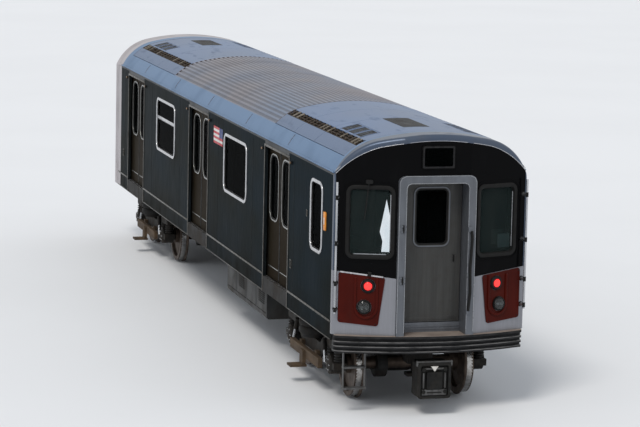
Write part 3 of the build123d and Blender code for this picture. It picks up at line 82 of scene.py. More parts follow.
# Side windows as centre, width, lowest and highest edge. The rearmost has a transom, whose
# bars have a height over the middle of the pane, a width and a finish.
SIDE_WINDOWS = (
    (-6.6, 0.56, RAIL + 1.98, RAIL + 2.872),
    (-1.92, 1.42, RAIL + 2.03, RAIL + 2.85),
    (3.12, 1.42, RAIL + 2.03, RAIL + 2.85),
)
WINDOW_R = 0.11
TRANSOM = ((0.115, 0.052, "bright_trim"), (0.084, 0.014, "gasket_rubber"))

# Trim of the sides, by place along the car and height. A stripe is width and centre, and a
# key box is centre, height, width and tallness.
BELT_Z = 1.2
SEAM_YS = (-5.42, -3.02, -0.8, 1.98, 4.25, 6.62)
MARKER = (-7.05, 2.45)
STRIPE = 0.037
STRIPES = 4 * ((0.38, -0.67),) + 3 * ((0.6, -0.78),)
STRIPES_TOP_Z = 2.912
STRIPES_CORNER = (-0.97, 2.856)
KEY_BOXES = ((-6.12, 2.42, 0.05, 0.09), (-5.3, 1.6, 0.09, 0.12), (6.75, 1.6, 0.09, 0.12))

# Bowed driving end and both end doors. The screen is width, height and corner, what ends
# in _AT and the lamps are half-width and height, and an end door is name, way out and
# window corner.
NOSE_FLAT_X = 0.45
NOSE_CORNER_Y = -7.46
RAKE = math.atan((NOSE_CORNER_Y - NOSE_Y) / (HALF_W - NOSE_FLAT_X))
MASK_SIDE_LOW_Z = RAIL + 1.848
MASK_SINK = 0.008
SCREEN = (0.56, 0.88, 0.07)
SCREEN_AT = (0.85, RAIL + 2.485)
# Frames of a windscreen: finish, growth, band, thickness, extra corner, edge, outwards
SCREEN_RINGS = (
    ("gasket_rubber", 0.075, 0.05, 0.02, 0.0375, 0.008, -MASK_SINK - 0.002),
    ("mask_black", 0.16, 0.012, 0.006, 0.08, 0.002, -MASK_SINK),
    ("gasket_rubber", -0.002, 0.02, 0.02, 0.0, 0.003, -0.027),
    ("cab_panel", 0.01, 0.035, 0.05, 0.0, 0.004, -0.088),
)
LIP_IN = 0.0255
LIP_OUT = -0.014
NOTICE_AT = (0.985, RAIL + 2.205, -0.034)
BLIND = ((-0.66, 2.78), (-0.6, 2.5), (-0.6, 2.1), (-0.71, 2.1), (-0.7, 2.24), (-0.735, 2.36))
SIGN_Z = RAIL + 3.33
END_DOORS = (("front", -1, 0.07), ("rear", 1, 0.06))
END_WINDOW = (0.44, 0.73)
END_WINDOW_Z = RAIL + 2.527
BEZEL_T = 0.01
KICK_STRIP_Z = 1.225
LATCH_AT = (0.31, RAIL + 1.98)
HINGE_ZS = (1.35, 1.75, 2.3, 2.8)
PULL_X = -0.452
PULL_ZS = (1.77, 2.44)
FRAME_EDGES = ((0.513, RAIL + 3.089, 0.085), (0.419, RAIL + 2.995, 0.06))
GUARD_BAR = ((0.46, 2.4, 0.02), (0.468, 2.3, 0.024), (0.448, 1.9, 0.024),
             (0.456, 1.6, 0.024), (0.436, 1.36, 0.02))
GUARD_FEET = ((0.44, 2.42), (0.436, 1.35))
TAIL_LAMP = (0.858, RAIL + 1.662)
HEAD_LAMP = (0.902, RAIL + 1.388)
LAMP_OUT = 0.032
PANEL_SCREWS = ((0.69, 1.785), (1.2, 1.83), (0.76, 1.19), (1.195, 1.235))
PANEL_SLOPE = math.atan2(0.06, 0.572)
PANEL_CAP = (0.94, RAIL + 1.811, 0.006)
BEAM_TOP_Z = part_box("anticlimber")[1].z
RIB_TOPS = (RAIL + 0.814, RAIL + 0.876, RAIL + 0.938)
GRAB_X = 1.256
GRAB_STAND = 0.07
GRAB_SEATS = ((1.35, 0.0), (1.69, 0.0), (2.21, -MASK_SINK), (2.8, -MASK_SINK))

# Roof arch: a wide crown arc and a tighter shoulder arc on each side
CROWN_R = 3.3
CROWN_X = 0.75
SHOULDER_R = 0.789
SEAM_X = 1.145
CROWN_TURN = math.asin(CROWN_X / CROWN_R)
SHOULDER_X = CROWN_X - SHOULDER_R * math.sin(CROWN_TURN)
SHOULDER_Z = (ROOF_Z - CROWN_R * (1 - math.cos(CROWN_TURN))
              - SHOULDER_R * math.cos(CROWN_TURN))

# Roof units as first and last place along the car and the way to their own end. The mat is
# place across, width and length.
UNIT_BEDS = ((-7.33, -3.7, -1), (3.13, 6.75, 1))
FLUTED_YS = (UNIT_BEDS[0][1], UNIT_BEDS[1][0])
TROUGH_X = 0.915
TROUGH_PIPES = ((0.89, "trough_rust"), (0.94, "trough_rust"), (0.852, "unit_steel"),
                (0.972, "trough_rust"))
GRILLE_X = 0.715
GRILLE_ROWS = (0.45, 0.8, 1.15)
BAR_PITCH = 0.046
MAT = (-0.03, 0.36, 1.0)
MAT_PITCH = 0.0587
COVE_SEAM_YS = (-4.9, -2.4, 0.1, 2.6, 5.1)

# Running gear and equipment. The cable is places from the bogie's middle and heights, a
# pipe is place across, height and radius, and the tread is radii and half-widths.
BOGIES = (("bogie_front", -5.485), ("bogie_rear", 5.485))
AXLE_HALF = 1.0415
AXLE_Z = RAIL + 0.432
JOURNAL_X = 0.965
CABLE_RUN = ((-1.2, 0.805), (-0.72, 0.805), (-0.44, 0.64), (0.44, 0.64), (0.72, 0.805),
             (1.2, 0.805))
CASE_DOORS = 4
TANK_YS = (-2.7, -1.1)
FLOOR_PIPES = ((-0.16, 1.0, 0.022), (-0.1, 0.985, 0.014), (0.14, 0.99, 0.018),
               (0.2, 1.0, 0.026), (1.0, 1.02, 0.016))
COUPLER_FACE_Z = RAIL + 0.44
# Bands of the coupler's face: finish, place across and up, width, height, depth
COUPLER_BANDS = (
    ("step_steel", 0, 0.155, 0.3, 0.022, 0.036), ("step_steel", 0, -0.155, 0.33, 0.075, 0.036),
    ("step_steel", -0.145, 0, 0.02, 0.2, 0.036), ("step_steel", 0.145, 0, 0.02, 0.2, 0.036),
    ("coupler_black", 0, -0.155, 0.2, 0.018, 0.04),
)
TREAD = ((0.4362, 0.722), (0.4365, 0.7225), (0.4302, 0.80), (0.4296, 0.8))
CEILING_Z = RAIL + 3.28

# Camera of the photograph, in the car's frame
CAMERA_AT = (-10.366, -40.374, 7.652 + RAIL)
CAMERA_YAW = math.radians(15.088)
CAMERA_PITCH = math.radians(7.391)
CAMERA_ROLL = math.radians(1.2533)
CAMERA_SHIFT = (0.0, -0.078)


class FinishColours(bpy.types.PropertyGroup):
    """Colours of the car's finishes."""

    # painted shade: the side steel is set dark for the shade the sides stand in
    side_steel: FloatVectorProperty(
        name="Side Steel", description="Steel of the side walls", subtype="COLOR",
        default=(0.034, 0.046, 0.054), min=0, max=1)
    # painted reflection: the cove's blue stands in for the sky mirrored on the roof
    roof_steel: FloatVectorProperty(
        name="Roof Steel", description="Smooth cove of the roof", subtype="COLOR",
        default=(0.115, 0.196, 0.325), min=0, max=1)
    mask_black: FloatVectorProperty(
        name="Mask Black", description="Gloss black of the driving end", subtype="COLOR",
        default=(0.0022, 0.0022, 0.0026), min=0, max=1)
    lamp_red: FloatVectorProperty(
        name="Lamp Panel Red", description="Brick red of the lamp panels", subtype="COLOR",
        default=(0.058, 0.0048, 0.0022), min=0, max=1)
    front_silver: FloatVectorProperty(
        name="Front Silver", description="Silver lower panels of the driving end",
        subtype="COLOR", default=(0.245, 0.25, 0.275), min=0, max=1)


class TrimSizes(bpy.types.PropertyGroup):
    """Sizes of the trim that is laid on the body."""

    frame_band: FloatProperty(
        name="Window Frame", description="Width of the bright frame round a side window",
        default=0.045, min=0.01, max=0.1, unit="LENGTH")
    frame_proud: FloatProperty(
        name="Frame Height", description="How far a window frame stands out",
        default=0.009, min=0.002, max=0.03, unit="LENGTH")
    gasket_band: FloatProperty(
        name="Gasket", description="Width of the black rubber round a pane",
        default=0.022, min=0.005, max=0.06, unit="LENGTH")


class StageLook(bpy.types.PropertyGroup):
    """Camera, floor and light."""

    lens: FloatProperty(
        name="Lens", description="Focal length on a 36 mm sensor, in millimetres",
        default=152.0, min=20, max=300)
    floor_colour: FloatVectorProperty(
        name="Floor", description="Colour of the floor", subtype="COLOR",
        default=(0.78, 0.79, 0.81), min=0, max=1)
    sun_strength: FloatProperty(
        name="Sun", description="Strength of the soft sun", default=1.6, min=0, max=10)
    sky_strength: FloatProperty(
        name="Sky", description="Strength of the even light", default=0.75, min=0, max=5)
    seed: IntProperty(
        name="Seed", description="Start of the random draws", default=7, min=0)


# Places on the car

CAR = Matrix.Identity(4)


def side_frame(side, x):
    """Frame of a side wall seen from outside: X along the car, Y up, Z outwards."""
    return Matrix(((0, 0, side, side * x), (side, 0, 0, 0), (0, 1, 0, 0), (0, 0, 0, 1)))


def end_frame(out, y):
    """Frame of an end seen from outside: X across, Y up, Z outwards; out is -1 in front."""
    return Matrix(((-out, 0, 0, 0), (0, 0, out, y), (0, 1, 0, 0), (0, 0, 0, 1)))


def rake_frame(side):
    """Frame of one raked front face, with X along the face from the flat middle."""
    turn, lean = side * math.sin(RAKE), math.cos(RAKE)
    return Matrix(((lean, 0, turn, side * NOSE_FLAT_X), (turn, 0, -lean, NOSE_Y),
                   (0, 1, 0, 0), (0, 0, 0, 1)))


def at(place, x=0.0, y=0.0, z=0.0, turn=0.0):
    """A place on a frame, turned about its outward axis."""
    return place @ Matrix.Translation((x, y, z)) @ Matrix.Rotation(turn, 4, "Z")


def on_side(side, y, z, out=0.0, x=None):
    """A place on a side wall, or on a plane of that side at x."""
    return at(side_frame(side, HALF_W if x is None else x), side * y, z, out)


def along_rake(x):
    """Distance along a raked face for a half-width x."""
    return (x - NOSE_FLAT_X) / math.cos(RAKE)


def on_rake(side, x, z, out=0.0, turn=0.0):
    """A place on a raked face at a half-width x."""
    return at(rake_frame(side), side * along_rake(x), z, out, turn)


def nose_y(x):
    """Face of the bowed end at x."""
    return NOSE_Y + max(0.0, abs(x) - NOSE_FLAT_X) * math.tan(RAKE)


def arch(turn, lift=0.0):
    """Point across the roof at a turn from the crown, lifted off the skin."""
    if abs(turn) <= CROWN_TURN:
        r = CROWN_R + lift
        return r * math.sin(turn), ROOF_Z - CROWN_R + r * math.cos(turn)
    side = math.copysign(1, turn)
    r = SHOULDER_R + lift
    return side * SHOULDER_X + r * math.sin(turn), SHOULDER_Z + r * math.cos(turn)


def turn_at(x):
    """Turn of the roof arch whose skin stands at x."""
    if abs(x) <= CROWN_X:
        return math.asin(x / CROWN_R)
    return math.asin((x - math.copysign(SHOULDER_X, x)) / SHOULDER_R)


def arc_through(a, b, c, steps):
    """Points of the arc through three points of a plane."""
    (ax, ay), (bx, by), (cx, cy) = a, b, c
    d = 2 * (ax * (by - cy) + bx * (cy - ay) + cx * (ay - by))
    aa, bb, cc = ax * ax + ay * ay, bx * bx + by * by, cx * cx + cy * cy
    ux = (aa * (by - cy) + bb * (cy - ay) + cc * (ay - by)) / d
    uy = (aa * (cx - bx) + bb * (ax - cx) + cc * (bx - ax)) / d
    r = math.hypot(ax - ux, ay - uy)
    start, end = math.atan2(ay - uy, ax - ux), math.atan2(cy - uy, cx - ux)
    turns = [start + (end - start) * i / steps for i in range(steps + 1)]
    return [(ux + r * math.cos(t), uy + r * math.sin(t)) for t in turns]


def visor_line(lift, out):
    """Points along the upper edge of the mask, from the left corner to the right."""
    crown = arc_through((-0.745, RAIL + 3.447), (0, RAIL + 3.535), (0.745, RAIL + 3.447), 16)
    right = arc_through((0.745, RAIL + 3.447), (1.05, RAIL + 3.302), (1.278, RAIL + 3.1), 10)
    left = [(-x, z) for x, z in reversed(right)]
    return [(x, nose_y(x) - out, z + lift) for x, z in left + crown[1:-1] + right]


def coil_line(x, y, low, high, radius, turns, steps=14):
    """Points of a helix that stands on Z."""
    count = turns * steps
    return [(x + radius * math.cos(2 * math.pi * i / steps),
             y + radius * math.sin(2 * math.pi * i / steps),
             low + (high - low) * i / count) for i in range(count + 1)]


# Shapes, each in a mesh of its own until it is added to a piece

def soften(bm, geom, offset, affect="EDGES", segments=2):
    """Rounds edges or corners."""
    bmesh.ops.bevel(bm, geom=geom, offset=offset, segments=segments, profile=0.5,
                    affect=affect, material=-1)


def rounded_face(bm, width, height, corner):
    """Flat face with round corners, centred on the origin."""
    size = Matrix.Diagonal((width, height, 1, 1))
    made = bmesh.ops.create_grid(bm, x_segments=1, y_segments=1, size=0.5, matrix=size)
    if corner:
        soften(bm, made["verts"], corner, "VERTICES", 6)


def thicken(bm, thick, edge=0.0):
    """Raises flat faces into a slab with softened upper edges."""
    grown = bmesh.ops.extrude_face_region(bm, geom=bm.faces[:])
    top = [v for v in grown["geom"] if isinstance(v, bmesh.types.BMVert)]
    bmesh.ops.translate(bm, verts=top, vec=(0, 0, thick))
    bmesh.ops.recalc_face_normals(bm, faces=bm.faces)
    if edge:
        soften(bm, [e for e in bm.edges if e.calc_face_angle(0) > 1.0
                    and all(v.co.z > thick / 2 for v in e.verts)], edge)
    return bm


def plate(width, height, thick, corner=0.0, edge=0.0):
    """Rounded plate from z 0 to its thickness."""
    bm = bmesh.new()
    rounded_face(bm, width, height, corner)
    return thicken(bm, thick, edge)


def cutout(points, thick, edge=0.0):
    """Plate with a drawn outline, from z 0 to its thickness."""
    bm = bmesh.new()
    bm.faces.new([bm.verts.new((x, y, 0)) for x, y in points])
    return thicken(bm, thick, edge)


def ring(width, height, band, thick, corner, edge=0.0):
    """Rounded frame with an opening, from z 0 to its thickness."""
    bm = bmesh.new()
    rounded_face(bm, width, height, corner)
    rounded_face(bm, width - 2 * band, height - 2 * band, max(corner - band, 0.004))
    bmesh.ops.delete(bm, geom=bm.faces[:], context="FACES_ONLY")
    bmesh.ops.bridge_loops(bm, edges=bm.edges[:])
    return thicken(bm, thick, edge)


def block(width, height, depth, edge=0.0):
    """Box centred on the origin with softened edges."""
    bm = bmesh.new()
    bmesh.ops.create_cube(bm, size=1.0, matrix=Matrix.Diagonal((width, height, depth, 1)))
    if edge:
        soften(bm, bm.edges[:], edge)
    return bm


def turned(sides, *profile):
    """Turned shape about Z from (radius, height) points."""
    bm = bmesh.new()
    verts = [bm.verts.new((r, 0, z)) for r, z in profile]
    edges = [bm.edges.new(pair) for pair in zip(verts, verts[1:])]
    bmesh.ops.spin(bm, geom=verts + edges, cent=(0, 0, 0), axis=(0, 0, 1),
                   angle=2 * math.pi, steps=sides, use_merge=True)
    bmesh.ops.remove_doubles(bm, verts=bm.verts, dist=1e-5)
    bmesh.ops.recalc_face_normals(bm, faces=bm.faces)
    return bm


def lens(sides, radius, foot, rise, turns):
    """Domed lens over a round lamp."""
    return turned(sides, *[(radius * math.cos(t), foot + rise * math.sin(t)) for t in turns])


def pipe(radius, sides, *points):
    """Round bar through points, mitred at its corners and closed at both ends."""
    points = [Vector(p) for p in points]
    runs = [(b - a).normalized() for a, b in zip(points, points[1:])]
    bm = bmesh.new()
    start = Matrix.Translation(points[0]) @ runs[0].to_track_quat("Z", "Y").to_matrix().to_4x4()
    bmesh.ops.create_circle(bm, cap_ends=True, radius=radius, segments=sides, matrix=start)
    bm.faces.ensure_lookup_table()
    face = bm.faces[0]
    for here, there, run, after in zip(points, points[1:], runs, runs[1:] + runs[-1:]):
        face = bmesh.ops.extrude_discrete_faces(bm, faces=[face])["faces"][0]
        mitre = (run + after).normalized()
        for vert in face.verts:
            vert.co += there - here
            vert.co -= run * ((vert.co - there).dot(mitre) / run.dot(mitre))
    bmesh.ops.holes_fill(bm, edges=[e for e in bm.edges if e.is_boundary], sides=0)
    bmesh.ops.recalc_face_normals(bm, faces=bm.faces)
    return bm


def on_roof(shape, x, y, z):
    """Moves a flat shape, X across the car and Z up, and bends it on to the roof arch."""
    bmesh.ops.translate(shape, verts=shape.verts, vec=(x, y, z))
    xs = [v.co.x for v in shape.verts]
    cuts = int((max(xs) - min(xs)) / 0.06)
    for i in range(1, cuts + 1):
        cut_x = min(xs) + (max(xs) - min(xs)) * i / (cuts + 1)
        bmesh.ops.bisect_plane(shape, geom=shape.verts[:] + shape.edges[:] + shape.faces[:],
                               plane_co=(cut_x, 0, 0), plane_no=(1, 0, 0))
    for vert in shape.verts:
        vert.co.x, vert.co.z = arch(turn_at(vert.co.x), vert.co.z)
    return shape


class Piece:
    """A mesh that grows shape by shape and becomes one object on a body."""

    def __init__(self, name, body, slot):
        self.name, self.body, self.slot = name, body, slot
        self.bm, self.keys = bmesh.new(), []

    def add(self, key, shape, place=CAR):
        """Moves a shape to its place and gives it a finish."""
        if key not in self.keys:
            self.keys.append(key)
        shape.transform(place)
        for face in shape.faces:
            face.material_index = self.keys.index(key)
            face.smooth = True
        mesh = bpy.data.meshes.new("shape")
        shape.to_mesh(mesh)
        shape.free()
        self.bm.from_mesh(mesh)
        bpy.data.meshes.remove(mesh)

    def done(self):
        """Makes the object, with its finishes, on its body."""
        mesh = bpy.data.meshes.new(self.name)
        self.bm.to_mesh(mesh)
        self.bm.free()
        for key in self.keys:
            mesh.materials.append(finish_named(key))
        mesh.set_sharp_from_angle(angle=math.radians(38))
        obj = bpy.data.objects.new(self.name, mesh)
        bpy.context.scene.collection.objects.link(obj)
        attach(obj, self.body)


# Finishes

class Finish:
    """One material and the sockets that its recipe works with."""

    def __init__(self, name, metallic=0.0, roughness=0.5, shine=0.3, edge=1.0):
        self.material = bpy.data.materials.new(f"metro_{name}")
        self.material.use_nodes = True
        self.tree = self.material.node_tree
        self.shader = self.tree.nodes["Principled BSDF"]
        self.shade({"Metallic": metallic, "Roughness": roughness,
                    "Specular IOR Level": shine, "Specular Tint": (edge, edge, edge)})
        self.object_coords = self.add("ShaderNodeTexCoord").outputs["Object"]

    def shade(self, values):
        """Sets or links sockets of the shader."""
        for key, value in values.items():
            self.feed(self.shader.inputs[key], value)

    def add(self, kind, inputs=None, **settings):
        """Adds a node, sets its properties and links or sets its inputs."""
        node = self.tree.nodes.new(kind)
        for key, value in settings.items():
            setattr(node, key, value)
        for key, value in (inputs or {}).items():
            self.feed(node.inputs[key], value)
        return node

    def feed(self, socket, value):
        """Links a socket or sets its value."""
        if isinstance(value, bpy.types.NodeSocket):
            self.tree.links.new(value, socket)
        elif hasattr(value, "__len__") and len(value) == 3 and socket.type == "RGBA":
            socket.default_value = (*value, 1)
        else:
            socket.default_value = value

    def math(self, kind, a, b=0.0):
        """Result of a Math node."""
        return self.add("ShaderNodeMath", {0: a, 1: b}, operation=kind).outputs[0]

    def times(self, a, b):
        """Product of two values."""
        return self.math("MULTIPLY", a, b)

    def axis(self, letter):
        """One coordinate of the object, in metres."""
        return self.add("ShaderNodeSeparateXYZ", {0: self.object_coords}).outputs[letter]

    def half_width(self):
        """Distance from the car's middle plane."""
        return self.math("ABSOLUTE", self.axis("X"))

    def spread(self, value, low, high, start=0.0, end=1.0):
        """A value mapped from one range to another and held inside it."""
        ranges = {0: value, 1: low, 2: high, 3: start, 4: end}
        return self.add("ShaderNodeMapRange", ranges).outputs[0]

    def between(self, value, low, high, soft=0.01):
        """1 inside a range and 0 outside it."""
        return self.times(self.spread(value, low - soft, low + soft),
                          self.spread(value, high - soft, high + soft, 1.0, 0.0))

    def noise(self, scale, detail=4.0, low=0.35, high=0.65, stretch=(1, 1, 1)):
        """Noise spread to the full 0 to 1, stretched along the axes."""
        mapped = self.add("ShaderNodeMapping", {"Vector": self.object_coords, "Scale": stretch})
        made = self.add("ShaderNodeTexNoise",
                        {"Vector": mapped.outputs[0], "Scale": scale, "Detail": detail})
        return self.spread(made.outputs["Fac"], low, high)

    def mix(self, factor, a, b):
        """Mixed colour, by the colour sockets of a Mix node."""
        return self.add("ShaderNodeMix", {0: factor, 6: a, 7: b}, data_type="RGBA").outputs[2]

    def over(self, base, mask, amount, colour):
        """A colour laid over another by a part of a mask."""
        return self.mix(self.times(mask, amount), base, colour)

    def coat(self, colour, mask=None, low=0.0, high=0.0):
        """Sets the colour, and the roughness from a mask."""
        self.shade({"Base Color": colour})
        if mask:
            self.shade({"Roughness": self.spread(mask, 0.0, 1.0, low, high)})

    def bump(self, height, distance, strength=0.5):
        """Relief from a height."""
        made = self.add("ShaderNodeBump",
                        {"Height": height, "Distance": distance, "Strength": strength})
        self.shade({"Normal": made.outputs[0]})
        return self.material


def end_band(f, base, metallic):
    """Pale paint of the rear end, carried on over the last of the body."""
    band = f.between(f.axis("Y"), SIDE_REAR_Y - 0.2, SIDE_REAR_Y + 1.0, 0.001)
    f.shade({"Metallic": f.times(f.math("SUBTRACT", 1.0, band), metallic)})
    return f.mix(band, base, (0.38, 0.355, 0.365))


def brushed_steel(name, tone, reflection_tone, pale):
    """Brushed steel in painted shade, with broad soft patches of painted reflection, paler
    patches of painted sheen, upright grain, and darker and browner towards the skirt.
    """
    f = Finish(name, metallic=1.0, roughness=0.36, edge=0.37)
    # painted reflection: broad upright bands between the two tones
    base = f.mix(f.noise(0.55, 2.0, 0.38, 0.64, (1, 1, 1.6)), tone, reflection_tone)
    # painted sheen: soft paler patches
    base = f.over(base, f.noise(0.8, 1.0, 0.5, 0.75), 0.3, pale)
    grain = f.noise(90.0, 2.0, stretch=(1, 1, 0.04))
    base = f.over(base, grain, 0.12, pale)
    # darker and browner towards the skirt
    skirt_darkening = f.times(f.spread(f.axis("Z"), 1.5, SKIRT_Z), f.noise(3.0, 5.0, 0.3, 0.7))
    base = f.over(base, skirt_darkening, 0.6, (0.032, 0.026, 0.021))
    f.coat(end_band(f, base, 1.0), f.math("MAXIMUM", f.times(grain, 0.5), skirt_darkening), 0.3, 0.55)
    return f.bump(f.noise(0.9, 1.0), 0.006, 0.3)


def side_steel(colours):
    """Side wall steel in painted shade, with blue to brown bands of painted reflection."""
    red, green, blue = colours.side_steel
    # painted shade in the first tone, a painted brown reflection in the second, painted sheen
    # and grain in the pale tone
    return brushed_steel("side_steel", (red, green, blue),
                         (red * 0.98, green * 0.80, blue * 0.62), (0.055, 0.065, 0.076))


def leaf_steel(_):
    """Steel of the side door leaves in painted shade, browner with a painted reflection."""
    # painted shade and a painted brown reflection in both tones
    return brushed_steel("leaf_steel", (0.062, 0.052, 0.040), (0.046, 0.037, 0.028),
                         (0.085, 0.078, 0.066))


def over_arch(f):
    """Height over the roof arch in metres, below zero in a groove."""
    across, z = f.half_width(), f.axis("Z")
    heights = []
    for x_mid, z_mid, radius in ((0.0, ROOF_Z - CROWN_R, CROWN_R),
                                 (SHOULDER_X, SHOULDER_Z, SHOULDER_R)):
        dx, dz = f.math("SUBTRACT", across, x_mid), f.math("SUBTRACT", z, z_mid)
        squares = f.math("ADD", f.times(dx, dx), f.times(dz, dz))
        heights.append(f.math("SUBTRACT", f.math("SQRT", squares), radius))
    crown, shoulder = heights
    beyond = f.math("GREATER_THAN", across, CROWN_X)
    return f.math("ADD", crown, f.times(beyond, f.math("SUBTRACT", shoulder, crown)))


def roof_steel(colours):
    """Cove in the blue of a painted sky reflection, paler fluted middle in painted sky blue and
    pinkish grey with painted shade in its grooves, soot in streaks, and painted shade on the
    eaves.
    """
    f = Finish("roof_steel", metallic=0.2, roughness=0.5, shine=0.25, edge=0.7)
    # painted sky reflection in the blue tone of the fluted middle
    middle = f.mix(f.noise(0.9, 2.0, stretch=(1, 0.5, 1)), (0.165, 0.205, 0.285),
                   (0.22, 0.205, 0.225))
    # painted shade in the grooves of the flutes
    middle = f.over(middle, f.spread(over_arch(f), -0.001, -0.010), 0.6, (0.07, 0.07, 0.08))
    base = f.over(tuple(colours.roof_steel), f.between(f.axis("Y"), *FLUTED_YS, 0.004),
                  f.between(f.half_width(), -1.0, SEAM_X, 0.004), middle)
    soot = f.noise(1.6, 4.0, 0.5, 0.85, (0.2, 1, 1))
    base = f.over(base, soot, 0.3, (0.10, 0.115, 0.14))
    base = f.over(base, f.noise(45.0, 2.0, 0.68, 0.74), 0.3, (0.07, 0.07, 0.075))
    # painted shade along the eaves and the drip bead
    eave_shade = f.between(f.axis("Z"), 0.0, EAVE_Z + 0.03, 0.002)
    f.coat(end_band(f, f.mix(eave_shade, base, (0.028, 0.031, 0.035)), 0.2), soot, 0.42, 0.6)
    return f.bump(f.noise(30.0, 3.0), 0.001, 0.25)


def unit_steel(_):
    """Pale painted covers of the roof units, dusty and scuffed; their blue is a painted sky
    reflection, with painted shade on the outer flaps.
    """
    f = Finish("unit_steel", metallic=0.1, roughness=0.5, shine=0.25)
    # painted sky reflection in both blues
    base = f.mix(f.noise(0.8, 3.0, stretch=(1, 0.6, 1)), (0.108, 0.165, 0.285),
                 (0.118, 0.162, 0.255))
    # painted shade: darker, cooler blue on the outer flaps
    base = f.over(base, f.between(f.half_width(), 0.93, 1.5), 0.7, (0.09, 0.132, 0.215))
    scuff = f.noise(7.0, 5.0, 0.58, 0.78, (1, 0.3, 1))
    f.coat(f.over(base, scuff, 0.35, (0.13, 0.145, 0.17)), scuff, 0.42, 0.65)
    return f.bump(f.noise(40.0, 3.0), 0.001, 0.25)


def beam_steel(_):
    """Black bumper beam with painted sunlight on its top shelf and painted highlights on the
    lips of its ribs.
    """
    f = Finish("beam_steel", metallic=0.2, roughness=0.6, shine=0.2)
    base = f.mix(f.noise(9.0, 5.0), (0.022, 0.022, 0.023), (0.010, 0.010, 0.011))
    z, wear_and_light_noise = f.axis("Z"), f.noise(5.0, 5.0, 0.3, 0.6)
    # painted highlights along the lips of the ribs
    for top in RIB_TOPS:
        lip_highlight = f.between(z, top - 0.005, top + 0.002, 0.001)
        base = f.over(base, lip_highlight, f.times(wear_and_light_noise, 0.8), (0.26, 0.255, 0.255))
    # painted sunlight on the top shelf
    shelf_sunlight = f.mix(wear_and_light_noise, (0.21, 0.165, 0.14), (0.27, 0.225, 0.195))
    sunlit_shelf = f.between(z, BEAM_TOP_Z - 0.0045, BEAM_TOP_Z + 0.1, 0.001)
    f.coat(f.mix(sunlit_shelf, base, shelf_sunlight), wear_and_light_noise, 0.45, 0.7)
    return f.bump(f.noise(60.0, 3.0), 0.0006, 0.4)


def front_silver(colours):
    """Silver shell below the mask, and the dark steel of the visor and corners above it."""
    f = Finish("front_silver", metallic=0.5, roughness=0.4, shine=0.3)
    grain = f.noise(80.0, 2.0, stretch=(1, 1, 0.04))
    base = f.over(tuple(colours.front_silver), grain, 0.2, (0.16, 0.165, 0.18))
    visor = f.mix(f.noise(2.0), (0.060, 0.081, 0.122), (0.075, 0.094, 0.13))
    above = f.spread(f.axis("Z"), MASK_SIDE_LOW_Z, MASK_SIDE_LOW_Z + 0.004)
    dirt = f.noise(5.0, 5.0, 0.55, 0.8, (1, 1, 0.3))
    f.coat(f.over(f.mix(above, base, visor), dirt, 0.3, (0.085, 0.08, 0.078)),
           dirt, 0.34, 0.6)
    return f.bump(grain, 0.0003, 0.2)


def mask_black(colours):
    """Gloss black panel with a faint film of dust."""
    f = Finish("mask_black", roughness=0.16, shine=0.05)
    dust = f.noise(5.0, 5.0, 0.55, 0.85, (1, 1, 0.4))
    f.coat(f.over(tuple(colours.mask_black), dust, 0.3, (0.007, 0.007, 0.008)),
           dust, 0.12, 0.35)
    return f.bump(f.noise(3.0), 0.0005, 0.3)


def lamp_red(colours):
    """Brick red moulding, darker and stained in places."""
    f = Finish("lamp_panel_red", roughness=0.34, shine=0.08)
    red = tuple(colours.lamp_red)
    base = f.mix(f.noise(4.0, 3.0, stretch=(1, 1, 0.5)), red, tuple(c * 0.7 for c in red))
    stain = f.noise(12.0, 5.0, 0.55, 0.78, (1, 1, 0.15))
    f.coat(f.over(base, stain, 0.4, (0.04, 0.010, 0.007)), stain, 0.28, 0.5)
    return f.bump(f.noise(90.0), 0.0003, 0.3)


def lens_glass(_):
    """Pressed glass of the head lamps, dark while they are off."""
    f = Finish("lens_glass", roughness=0.05)
    f.shade({"Transmission Weight": 0.9})
    f.coat(f.mix(f.noise(20.0), (0.13, 0.15, 0.15), (0.08, 0.095, 0.095)))
    return f.bump(f.math("SINE", f.times(f.axis("Z"), 500.0)), 0.0008, 0.4)


RECIPES = {
    "side_steel": side_steel, "leaf_steel": leaf_steel, "roof_steel": roof_steel,
    "unit_steel": unit_steel, "beam_steel": beam_steel, "front_silver": front_silver,
    "mask_black": mask_black, "lamp_panel_red": lamp_red, "head_lamp_glass": lens_glass,
}


def tinted_glass(name, clean, dusty, clear):
    """Tinted pane with a dusty film and little glare."""
    f = Finish(name, roughness=0.03, shine=0.5)
    f.shade({"Transmission Weight": clear, "IOR": 1.012})
    film = f.noise(4.0, 6.0, 0.45, 0.8, (1, 1, 0.5))
    f.coat(f.mix(film, clean, dusty), film, 0.02, 0.09)
    return f.material


# Panes: clean tint, dusty tint, clearness
PANES = {
    "window_glass": ((0.018, 0.024, 0.025), (0.034, 0.041, 0.042), 0.95),
    "screen_glass": ((0.075, 0.105, 0.104), (0.108, 0.135, 0.13), 0.86),
}


def lit_finish(name, light, dark, rough, scale, stretch, glow, strength):
    """Lens that a lamp lights, or cloth whose glow is painted sunlight."""
    f = Finish(name, roughness=rough)
    f.coat(f.mix(f.noise(scale, stretch=stretch), light, dark))
    f.shade({"Emission Color": glow, "Emission Strength": strength})
    return f.material


# Lit finishes: light tone, dark tone, roughness, grain scale, stretch, glow, strength
LIT = {
    "tail_lamp_red": ((0.75, 0.02, 0.02), (0.6, 0.012, 0.012), 0.2, 40, (1, 1, 1),
                      (1.0, 0.035, 0.03), 1.6),
    # painted light: the blind glows though it is no lamp, standing in for sunlit cloth
    "sun_blind": ((0.75, 0.76, 0.78), (0.62, 0.64, 0.68), 0.7, 12, (1, 1, 0.2),
                  (1.0, 0.79, 0.86), 11.0),
    "lamp_white": ((0.85, 0.86, 0.84), (0.8, 0.81, 0.79), 0.5, 10, (1, 1, 1),
                   (0.9, 0.95, 1.0), 0.6),
}


